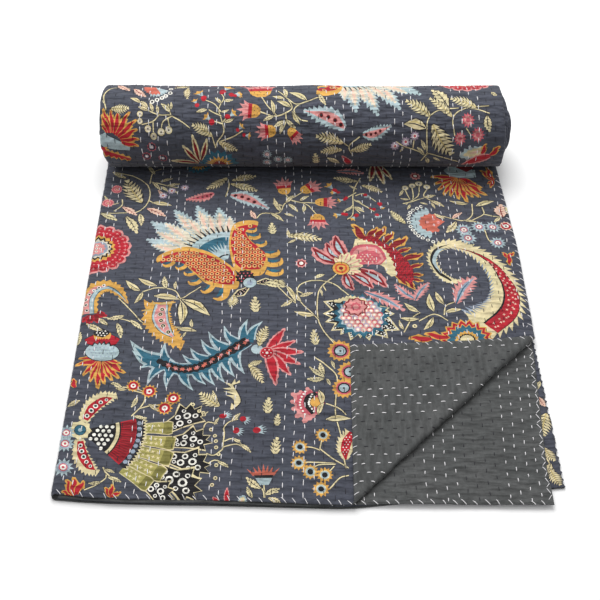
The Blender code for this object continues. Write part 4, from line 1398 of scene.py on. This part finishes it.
def triangulated(points, shapes, a_range, b_range):
    """Triangles over the rectangle that keep every shape's outline, and the top shape of each triangle."""
    corners = [(a_range[i], b_range[j]) for i, j in ((0, 0), (1, 0), (1, 1), (0, 1))]
    verts, edges = [], []
    for outline in [corners] + [outline for outline, _ in shapes]:
        first, count = len(verts), len(outline)
        edges += [(first + i, first + (i + 1) % count) for i in range(count)]
        verts.extend(Vector(point) for point in outline)
    verts += [Vector(point) for point in points]
    out_verts, _, out_faces, _, _, _ = delaunay_2d_cdt(verts, edges, [], 0, 1e-7, False)
    flat, faces = np.array([tuple(v) for v in out_verts]), np.array([tuple(face) for face in out_faces])
    middles = flat[faces].mean(axis=1)
    kept = (middles > (a_range[0], b_range[0])).all(axis=1) & (middles < (a_range[1], b_range[1])).all(axis=1)
    return flat, faces[kept], top_shapes(middles[kept], shapes)


def new_sheet(name, blocks, b_range, side, shapes, bake_a, bake_b):
    """One cloth over a range of b, with its print as colours of its faces. bake_a and bake_b each list places
    of the flat cloth, across or along, and where those come on the baked texture."""
    a_range = (0.0, ACROSS)
    flat, faces, tops = triangulated(lattice_points(blocks), shapes, a_range, b_range)
    used = np.unique(faces)
    renumber = np.full(len(flat), -1)
    renumber[used] = np.arange(len(used))
    flat = np.clip(flat[used], (a_range[0], b_range[0]), (a_range[1], b_range[1]))
    corners = renumber[faces]
    if side > 0:
        corners = corners[:, ::-1]
    mesh = bpy.data.meshes.new(name)
    mesh.from_pydata(cloth_points(flat[:, 0], flat[:, 1], side).tolist(), [], corners.tolist())
    at_corner = flat[corners.ravel()]
    baked = np.stack((np.interp(at_corner[:, 0], *bake_a), np.interp(at_corner[:, 1], *bake_b)), axis=1)
    mesh.uv_layers.new(name="OFBake").data.foreach_set("uv", baked.ravel())
    mesh.uv_layers.new(name="Cloth").data.foreach_set("uv", at_corner.ravel())
    palette = np.array([COLOURS["ground"]] + [COLOURS[colour] for _, colour in shapes])
    colours = np.repeat(palette[tops + 1], 3, axis=0)
    paint = mesh.color_attributes.new("Print", "FLOAT_COLOR", "CORNER")
    paint.data.foreach_set("color", np.concatenate((colours, np.ones((len(colours), 1))), axis=1).ravel())
    mesh.shade_smooth()
    return added(name, mesh)


# ---------------------------------------------------------------- threads
SIDES = 4  # of a thread


def tube(points, radius):
    """Closed threads through rows of points: the vertices and faces of all threads."""
    count, length = points.shape[:2]
    run = np.gradient(points, axis=1)
    run /= np.linalg.norm(run, axis=2, keepdims=True) + 1e-12
    across = np.cross(run, np.array((0.13, 0.11, 1.0)))
    across /= np.linalg.norm(across, axis=2, keepdims=True) + 1e-12
    up = np.cross(across, run)
    rings = []
    for side in range(SIDES):
        turn = 2 * math.pi * (side + 0.5) / SIDES
        outwards = math.cos(turn) * across[:, 1:-1] + math.sin(turn) * up[:, 1:-1]
        rings.append(points[:, 1:-1] + radius * outwards)
    rings = np.stack(rings, axis=2).reshape(count, -1, 3)
    verts = np.concatenate((points[:, :1], rings, points[:, -1:]), axis=1)
    each = verts.shape[1]
    faces = []
    for side in range(SIDES):
        after = (side + 1) % SIDES
        faces.append((0, 1 + side, 1 + after))
        for ring in range(length - 3):
            low, high = 1 + ring * SIDES, 1 + (ring + 1) * SIDES
            faces.append((low + side, high + side, high + after, low + after))
        last = 1 + (length - 3) * SIDES
        faces.append((last + side, each - 1, last + after))
    all_faces = [tuple(v + each * k for v in face) for k in range(count) for face in faces]
    return verts.reshape(-1, 3), all_faces


def thread_piece(name, groups):
    """One object of many stitches. groups are (points, radius), each points array n stitches by m places."""
    verts, faces = [], []
    for points, radius in groups:
        new_verts, new_faces = tube(points, radius)
        offset = sum(len(v) for v in verts)
        verts.append(new_verts)
        faces += [tuple(v + offset for v in face) for face in new_faces]
    mesh = bpy.data.meshes.new(name)
    mesh.from_pydata(np.concatenate(verts).tolist(), [], faces)
    mesh.shade_smooth()
    return added(name, mesh)


def running_stitches(rows, b_range, side):
    """Flat places of the stitches of some rows: arrays of a and b, five places to a stitch."""
    all_a, all_b = [], []
    draw = np.random.default_rng(int(rows[0]) + (7 if side > 0 else 3))
    for row in rows:
        length = STITCH if side > 0 else STITCH_EVERY - STITCH
        start = stitch_start(row) + (0 if side > 0 else STITCH)
        starts = np.arange(start - STITCH_EVERY, b_range[1], STITCH_EVERY)
        starts = starts + draw.uniform(-0.0016, 0.0016, len(starts))
        lengths = length * draw.uniform(0.85, 1.15, len(starts))
        kept = (starts > b_range[0] + 0.002) & (starts + lengths < b_range[1])
        starts, lengths = starts[kept], lengths[kept]
        share = np.linspace(0, 1, 5)
        b = starts[:, None] + lengths[:, None] * share
        drift = ROW_WANDER * noise(b / 0.06, np.full_like(b, row * 3.7)) * 2
        tilt = draw.uniform(-0.0005, 0.0005, len(starts))[:, None] * (share - 0.5) * 2
        all_a.append(row * ROW_STEP + drift + tilt)
        all_b.append(b)
    return np.concatenate(all_a), np.concatenate(all_b)


def stitch_points(rows, b_range, side, radius):
    """The stitches of some rows, lying on the cloth with both ends sunk into it."""
    a, b = running_stitches(rows, b_range, side)
    rise = np.array((-0.0005, radius * 0.7, radius * 0.9, radius * 0.7, -0.0005))
    out = side * (SURFACE + puffs(a, b) * 0.35 + rise) + wrinkles(a, b) * ripple_room(a, b)
    return resting(on_quilt(a, b, out), THREAD_REST)


TO_CREASE = LAYER_1 - HALF - CREASE_START[0]  # along the near hem to where the corner is turned back
# Hand-sewn hems: which hem, side it shows on, first and last place along it, slant and whether it zigzags.
HEMS = (
    ("near", 1, TO_CREASE, LAYER_1, 0.007, False),
    ("near", -1, 0.004, TO_CREASE, -0.006, False),
    ("near", -1, ACROSS - 0.30, ACROSS - 0.01, -0.007, False),
    ("right", -1, 0.004, 0.285, 0.007, False),
    ("right", 1, 0.300, 0.640, 0.007, False),
    ("last", -1, 0.006, 0.640, 0.0085, True),
)
WHIP_EVERY, WHIP_DEPTH = 0.0152, 0.0078


def hem_places(hem, side, first, last, slant, zigzag, draw):
    """Flat places of the stitches over one hem, five to a stitch, from inside it to its rim."""
    spacing = slant if zigzag else WHIP_EVERY
    along = np.arange(first, last, spacing)
    along = along + draw.uniform(-0.12, 0.12, len(along)) * spacing
    deep = WHIP_DEPTH * draw.uniform(0.7, 1.2, len(along))
    share = np.array((0.0, 0.3, 0.6, 0.88, 1.0))
    if zigzag:
        deep[1::2] = 0.0012
        starts, ends, from_deep, to_deep = along[:-1, None], along[1:, None], deep[:-1, None], deep[1:, None]
    else:
        starts, ends = (along + slant * draw.uniform(0.6, 1.3, len(along)))[:, None], along[:, None]
        from_deep, to_deep = deep[:, None], -0.0004
    place = starts + (ends - starts) * share
    depth = from_deep + (to_deep - from_deep) * share
    rim = np.sqrt(np.clip(depth / HEM_ROUND, 0, 1))
    rise = np.array((-0.0004, 0.0005, 0.0006, 0.0005, -0.0002 if zigzag else 0.0))
    a, b = {"near": (place, depth), "right": (depth, place), "last": (ACROSS - depth, place)}[hem]
    out = side * (SURFACE + puffs(a, b) * 0.35 + rise) * rim + wrinkles(a, b) * ripple_room(a, b)
    return resting(on_quilt(a, b, out), THREAD_REST)


# ---------------------------------------------------------------- materials
class Nodes:
    """A material's node tree, with short ways to add and join nodes."""

    def __init__(self, name, roughness):
        self.material = bpy.data.materials.new(name)
        self.material.use_nodes = True
        self.tree = self.material.node_tree
        self.shader = self.tree.nodes["Principled BSDF"]
        self.shader.inputs["Roughness"].default_value = roughness

    def add(self, kind, values=(), **settings):
        """A new node. values are by socket: a number, a colour or another socket to join."""
        node = self.tree.nodes.new(kind)
        for name, value in settings.items():
            setattr(node, name, value)
        for socket, value in dict(values).items():
            if isinstance(value, bpy.types.NodeSocket):
                self.tree.links.new(value, node.inputs[socket])
            else:
                node.inputs[socket].default_value = value
        return node

    def link(self, output, socket):
        """Joins an output to a socket of the shader."""
        self.tree.links.new(output, self.shader.inputs[socket])


YARNS = 1500.0  # streaks of the weave in a metre of cloth


def cotton(name, roughness, colour_from):
    """Hand-loomed cotton: a plain weave with slubs, uneven dye and a little fuzz on top. Its colour also
    carries painted shade that follows the pucker bump: darker in the troughs of the crosswise puckers and
    paler on their ridges.
    """
    nodes = Nodes(name, roughness)
    place = nodes.add("ShaderNodeUVMap", uv_map="Cloth").outputs["UV"]
    warp = nodes.add("ShaderNodeMapping", {"Vector": place, "Scale": (YARNS, YARNS * 0.12, 1)})
    weft = nodes.add("ShaderNodeMapping", {"Vector": place, "Scale": (YARNS * 0.12, YARNS, 1)})
    warp_noise = nodes.add("ShaderNodeTexNoise", {"Vector": warp.outputs[0], "Scale": 1.0, "Detail": 2.0})
    weft_noise = nodes.add("ShaderNodeTexNoise", {"Vector": weft.outputs[0], "Scale": 1.0, "Detail": 2.0})
    weave = nodes.add("ShaderNodeMath", {0: warp_noise.outputs[0], 1: weft_noise.outputs[0]}, operation="ADD")
    blotch = nodes.add("ShaderNodeTexNoise", {"Vector": place, "Scale": 14.0, "Detail": 4.0, "Roughness": 0.6})
    grain = nodes.add("ShaderNodeTexNoise", {"Vector": place, "Scale": 160.0, "Detail": 3.0})
    crosswise = nodes.add("ShaderNodeMapping", {"Vector": place, "Scale": (32, 135, 1)})
    puckers = nodes.add("ShaderNodeTexNoise", {"Vector": crosswise.outputs[0], "Scale": 1.0, "Detail": 1.5})
    colour = colour_from(nodes, blotch, grain)
    shade = nodes.add("ShaderNodeMapRange", {"Value": weave.outputs[0], 1: 0.6, 2: 1.4, 3: 0.86, 4: 1.14})
    # Painted shade: the colour is darkened in the puckers' troughs and lightened on their ridges, standing in
    # for the shading of the pucker relief.
    pucker_shade = nodes.add("ShaderNodeMapRange", {"Value": puckers.outputs[0], 1: 0.3, 2: 0.62, 3: 0.74, 4: 1.12})
    level = nodes.add("ShaderNodeMath", {0: shade.outputs[0], 1: pucker_shade.outputs[0]}, operation="MULTIPLY")
    toned = nodes.add("ShaderNodeVectorMath", {0: colour, "Scale": level.outputs[0]}, operation="SCALE")
    nodes.link(toned.outputs[0], "Base Color")
    creased = nodes.add("ShaderNodeBump", {"Height": puckers.outputs[0], "Strength": 1.0, "Distance": 0.006})
    bump = nodes.add(
        "ShaderNodeBump",
        {"Height": weave.outputs[0], "Normal": creased.outputs[0], "Strength": 0.35, "Distance": 0.0004},
    )
    soft = nodes.add(
        "ShaderNodeBump",
        {"Height": grain.outputs[0], "Normal": bump.outputs[0], "Strength": 0.35, "Distance": 0.0008},
    )
    nodes.link(soft.outputs[0], "Normal")
    nodes.shader.inputs["Specular IOR Level"].default_value = 0.25
    nodes.shader.inputs["Sheen Weight"].default_value = 0.12
    nodes.shader.inputs["Sheen Roughness"].default_value = 0.5
    return nodes.material


def mixed(nodes, factor, first, second, blend="MIX"):
    """The blend of two colours by a factor."""
    mix = nodes.add("ShaderNodeMix", data_type="RGBA", blend_type=blend)
    for socket, value in (("Factor_Float", factor), ("A_Color", first), ("B_Color", second)):
        target = next(s for s in mix.inputs if s.identifier == socket)
        if isinstance(value, bpy.types.NodeSocket):
            nodes.tree.links.new(value, target)
        else:
            target.default_value = value
    return next(s for s in mix.outputs if s.identifier == "Result_Color")


def printed_colour(nodes, blotch, grain):
    """The print, a little uneven in dye, with faint greener patches in the ground."""
    print_node = nodes.add("ShaderNodeAttribute", attribute_name="Print", attribute_type="GEOMETRY")
    paint = print_node.outputs["Color"]
    tint = nodes.add("ShaderNodeMapRange", {"Value": blotch.outputs[0], 1: 0.35, 2: 0.68, 3: 0.0, 4: 0.35})
    washed = mixed(nodes, tint.outputs[0], paint, (0.90, 1.06, 0.98, 1), "MULTIPLY")
    level = nodes.add("ShaderNodeMapRange", {"Value": grain.outputs[0], 1: 0.3, 2: 0.7, 3: 0.88, 4: 1.12})
    scaled = nodes.add("ShaderNodeVectorMath", {0: washed, "Scale": level.outputs[0]}, operation="SCALE")
    return scaled.outputs[0]


def grey_colour(nodes, blotch, grain):
    """Plain dark grey, faintly green, with paler worn threads."""
    worn = nodes.add("ShaderNodeMapRange", {"Value": blotch.outputs[0], 1: 0.35, 2: 0.65, 3: 0.0, 4: 1.0})
    base = mixed(nodes, worn.outputs[0], (*srgb("484a4a"), 1), (*srgb("505151"), 1))
    level = nodes.add("ShaderNodeMapRange", {"Value": grain.outputs[0], 1: 0.3, 2: 0.7, 3: 0.86, 4: 1.14})
    scaled = nodes.add("ShaderNodeVectorMath", {0: base, "Scale": level.outputs[0]}, operation="SCALE")
    return scaled.outputs[0]


def thread_material(name, dark, pale):
    """Soft-spun sewing cotton, its fibres seen as fine streaks."""
    nodes = Nodes(name, 0.75)
    place = nodes.add("ShaderNodeTexCoord").outputs["Object"]
    fibres = nodes.add("ShaderNodeTexNoise", {"Vector": place, "Scale": 900.0, "Detail": 2.0})
    share = nodes.add("ShaderNodeMapRange", {"Value": fibres.outputs[0], 1: 0.3, 2: 0.7, 3: 0.0, 4: 1.0})
    nodes.link(mixed(nodes, share.outputs[0], (*srgb(dark), 1), (*srgb(pale), 1)), "Base Color")
    bump = nodes.add("ShaderNodeBump", {"Height": fibres.outputs[0], "Strength": 0.4, "Distance": 0.0003})
    nodes.link(bump.outputs[0], "Normal")
    return nodes.material


# ---------------------------------------------------------------- the pieces
FINE_A, FINE_B = ROW_STEP / 4, 0.0038
FIRST_TURN = FLAT_LENGTH + OUTER_TURN
SHOWN = 0.33  # how much of the grey cloth shows, in from its right and near hems
ROLL_END = 0.035  # finer steps near the roll's two ends
LAYER_MARKS = [0.0, *STRETCHES]


# Blocks of a flat cloth, as lattice_points takes them; they overlap where a place needs finer steps.
printed_blocks = [
    (0.0, LAYER_1, FINE_A, 0.0, FLAT_LENGTH, FINE_B),
    (0.0, HEM_ROUND, 0.0004, 0.0, FLAT_LENGTH, FINE_B * 2),
    (LAYER_1, FOLD_1, 0.0018, 0.0, FLAT_LENGTH, FINE_B * 1.5),
    (FOLD_1, LAYER_4, ROW_STEP, 0.0, FLAT_LENGTH, 0.02),
    (LAYER_4 - 0.03, LAYER_4, 0.006, 0.0, FLAT_LENGTH, 0.01),
    (LAYER_4, FOLD_2, 0.0009, 0.0, FLAT_LENGTH, 0.012),
    (FOLD_2, FOLD_2 + 0.03, 0.005, 0.0, FLAT_LENGTH, 0.012),
    (FOLD_2, LAYER_3, ROW_STEP * 2, 0.0, FLAT_LENGTH, 0.04),
    (LAYER_3, FOLD_3, 0.0009, 0.0, FLAT_LENGTH, 0.03),
    (FOLD_3, LAYER_2, ROW_STEP * 2, 0.0, FLAT_LENGTH, 0.04),
    (LAYER_2 - 0.003, LAYER_2, 0.0005, 0.0, FLAT_LENGTH, 0.01),
    (0.0, LAYER_1, FINE_A, 0.0, HEM_ROUND, 0.0004),
    (LAYER_1, LAYER_2, 0.005, 0.0, HEM_ROUND, 0.0005),
]
grey_blocks = [
    (0.0, SHOWN, FINE_A, 0.0, SHOWN, FINE_B),
    (0.0, HEM_ROUND, 0.0004, 0.0, FLAT_LENGTH, FINE_B * 2),
    (SHOWN, LAYER_1, ROW_STEP * 2, 0.0, FLAT_LENGTH, 0.03),
    (0.0, SHOWN, ROW_STEP * 2, SHOWN, FLAT_LENGTH, 0.03),
    (LAYER_1, FOLD_1, 0.0018, 0.0, FLAT_LENGTH, 0.02),
    (FOLD_1, LAYER_4, ROW_STEP * 2, 0.0, FLAT_LENGTH, 0.04),
    (LAYER_4, FOLD_2, 0.0009, 0.0, FLAT_LENGTH, 0.02),
    (FOLD_2, LAYER_3, ROW_STEP * 2, 0.0, FLAT_LENGTH, 0.04),
    (LAYER_3, FOLD_3, 0.0008, 0.0, FLAT_LENGTH, 0.02),
    (FOLD_3, LAYER_2 - SHOWN, ROW_STEP * 2, 0.0, FLAT_LENGTH, 0.03),
    (LAYER_2 - SHOWN, LAYER_2, FINE_A, 0.0, SHOWN, FINE_B),
    (LAYER_2 - SHOWN, LAYER_2, ROW_STEP * 2, SHOWN, FLAT_LENGTH, 0.03),
    (LAYER_2 - HEM_ROUND, LAYER_2, 0.0004, 0.0, FLAT_LENGTH, FINE_B * 2),
    (0.0, LAYER_1, FINE_A, 0.0, HEM_ROUND, 0.0004),
    (LAYER_1, LAYER_2, 0.005, 0.0, HEM_ROUND, 0.0005),
]


def turn_blocks(a0, a1, a_step, fine):
    """Blocks along the roll for one stretch of the section, in steps that suit the turns' bends."""
    inner = FIRST_TURN + 0.55
    lengths = (FLAT_LENGTH, FIRST_TURN, fine), (FIRST_TURN, inner, 0.011), (inner, QUILT_LENGTH, 0.007)
    return [(a0, a1, a_step, *length) for length in lengths]


def roll_blocks(side):
    """Blocks of a rolled cloth, finer where the print shows, at the folds and at the hems."""
    blocks = [(FOLD_1, LAYER_4, FINE_A, FLAT_LENGTH, FIRST_TURN, 0.0036)] if side > 0 else []
    for first, last in ((0.0, LAYER_1), (FOLD_1, LAYER_4), (FOLD_2, LAYER_3), (FOLD_3, LAYER_2)):
        blocks += turn_blocks(first, first + ROLL_END, 0.008, 0.01)
        blocks += turn_blocks(first + ROLL_END, last - ROLL_END, 0.14, 0.012)
        blocks += turn_blocks(last - ROLL_END, last, 0.008, 0.01)
    blocks += turn_blocks(LAYER_1, FOLD_1, 0.0021, 0.0045)
    blocks += turn_blocks(LAYER_4, FOLD_2, 0.0009, 0.0045)
    blocks += turn_blocks(LAYER_3, FOLD_3, 0.0011, 0.01)
    blocks += turn_blocks(0.0, HEM_ROUND, 0.0004, 0.006)
    blocks += turn_blocks(LAYER_2 - HEM_ROUND, LAYER_2, 0.0004, 0.006)
    return blocks


LYING_B, ROLLED_B = (0.0, FLAT_LENGTH), (FLAT_LENGTH, QUILT_LENGTH)
# What shows has more room on the texture: the top layer, the roll's outer turn and the grey corners.
printed_flat = new_sheet(
    "printed_cloth", printed_blocks, LYING_B, 1, flat_print,
    (LAYER_MARKS, [0.0, 0.62, 0.66, 0.82, 0.84, 0.92, 0.93, 1.0]), ([0.0, FLAT_LENGTH], [0.0, 1.0]),
)
grey_flat = new_sheet(
    "grey_cloth", grey_blocks, LYING_B, -1, [],
    ([0.0, SHOWN, LAYER_1, LAYER_2 - SHOWN, LAYER_2], [0.0, 0.38, 0.46, 0.62, 1.0]),
    ([0.0, SHOWN, FLAT_LENGTH], [0.0, 0.8, 1.0]),
)
printed_roll = new_sheet(
    "printed_roll", roll_blocks(1), ROLLED_B, 1, roll_print,
    (LAYER_MARKS, [0.0, 0.09, 0.14, 0.74, 0.78, 0.86, 0.90, 1.0]),
    ([FLAT_LENGTH, FIRST_TURN, QUILT_LENGTH], [0.0, 0.72, 1.0]),
)
grey_roll = new_sheet(
    "grey_roll", roll_blocks(-1), ROLLED_B, -1, [],
    (LAYER_MARKS, [0.0, 0.2, 0.3, 0.5, 0.6, 0.7, 0.8, 1.0]),
    ([FLAT_LENGTH, FIRST_TURN, QUILT_LENGTH], [0.0, 0.4, 1.0]),
)

FLAP_SEWN = 0.31  # the grey side's stitches show this far in from the hems


def stitched(white, radius):
    """The stitches of the white or of the dark rows, where they show, as thread_piece takes them."""
    groups = []
    # Places across between which the rows lie, how far they run from the near hem, and their side.
    for first, last, length, side in (
        (0.0, LAYER_1, FLAT_LENGTH, 1),
        (LAYER_1, FOLD_1, FIRST_TURN, 1),
        (FOLD_1, LAYER_4 - 0.004, FIRST_TURN, 1),
        (0.0, FLAP_SEWN, FLAP_SEWN, -1),
        (LAYER_2 - SHOWN, LAYER_2, FLAP_SEWN, -1),
    ):
        rows = [row for row in range(1, ROW_COUNT) if first < row * ROW_STEP < last]
        rows = [row for row in rows if row_is_white(row) == white]
        if rows:
            groups.append((stitch_points(rows, (0.0, length), side, radius), radius))
    return groups


HEM_THREAD, WHITE_THREAD, DARK_THREAD = 0.00058, 0.00075, 0.00050  # radii
hem_draw = np.random.default_rng(23)
hem_threads = thread_piece("hem_stitches", [(hem_places(*hem, hem_draw), HEM_THREAD) for hem in HEMS])
white_threads = thread_piece("white_stitches", stitched(True, WHITE_THREAD))
dark_threads = thread_piece("dark_stitches", stitched(False, DARK_THREAD))

printed_material = cotton("printed cotton", 0.85, printed_colour)
grey_material = cotton("grey cotton", 0.88, grey_colour)
white_cotton = thread_material("white thread", "cbc9cc", "f1eff0")
dark_cotton = thread_material("dark thread", "14131a", "2a2832")

for cloth, solid, material, slot in (
    (printed_flat, "printed_face", printed_material, "printed_cotton"),
    (grey_flat, "grey_backing", grey_material, "grey_cotton"),
    (printed_roll, "rolled_end", printed_material, "printed_cotton"),
    (grey_roll, "rolled_end", grey_material, "grey_cotton"),
):
    cloth.data.materials.append(material)
    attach(cloth, "root")
    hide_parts(solid)
for threads, material in (
    (hem_threads, white_cotton), (white_threads, white_cotton), (dark_threads, dark_cotton),
):
    threads.data.materials.append(material)
    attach(threads, "root")

# ---------------------------------------------------------------- floor, light and camera
FLOOR_REACH = 9  # from its middle to each edge
floor_mesh = bpy.data.meshes.new("floor")
floor_corners = [(x * FLOOR_REACH, y * FLOOR_REACH, 0) for x, y in ((-1, -1), (1, -1), (1, 1), (-1, 1))]
floor_mesh.from_pydata(floor_corners, [], [(0, 1, 2, 3)])
floor = added("floor", floor_mesh)
paint = Nodes("pale floor", 0.9)
paint.shader.inputs["Base Color"].default_value = (0.93, 0.93, 0.93, 1)
paint.shader.inputs["Specular IOR Level"].default_value = 0.1
floor_mesh.materials.append(paint.material)


def area_light(name, place, target, size, power):
    """A square light at a place, turned to its target."""
    data = bpy.data.lights.new(name, "AREA")
    data.shape, data.size, data.energy = "SQUARE", size, power
    light = added(name, data)
    light.location = place
    light.rotation_euler = (Vector(target) - Vector(place)).to_track_quat("-Z", "Y").to_euler()


area_light("soft box above", (-0.15, 0.88, 1.75), (0, 0, 0), 1.5, 35.5)
# The studio's white glow is faint at the horizon and strong overhead.
world = bpy.data.worlds.new("studio")
world.use_nodes = True
background = world.node_tree.nodes["Background"]
background.inputs["Color"].default_value = (1, 1, 1, 1)
sky = world.node_tree.nodes.new("ShaderNodeTexCoord")
height = world.node_tree.nodes.new("ShaderNodeSeparateXYZ")
glow = world.node_tree.nodes.new("ShaderNodeMapRange")
for socket, value in (("From Min", 0.0), ("From Max", 0.9), ("To Min", 0.05), ("To Max", 0.9)):
    glow.inputs[socket].default_value = value
world.node_tree.links.new(sky.outputs["Generated"], height.inputs[0])
world.node_tree.links.new(height.outputs["Z"], glow.inputs["Value"])
world.node_tree.links.new(glow.outputs[0], background.inputs["Strength"])
bpy.context.scene.world = world
bpy.context.scene.view_settings.view_transform = "Standard"

CAMERA_HEIGHT, CAMERA_BACK = 1.1260, 0.6268  # above the floor, and behind the near hem
CAMERA_PITCH = 48.8  # degrees down from level
camera_data = bpy.data.cameras.new("camera")
camera_data.sensor_width = 36.0
camera_data.lens = 57.24
camera = added("camera", camera_data)
camera.location = (0.0, NEAR_Y - CAMERA_BACK, CAMERA_HEIGHT)
camera.rotation_euler = (math.radians(90 - CAMERA_PITCH), 0.0, 0.0)
bpy.context.scene.camera = camera

bpy.context.view_layer.update()
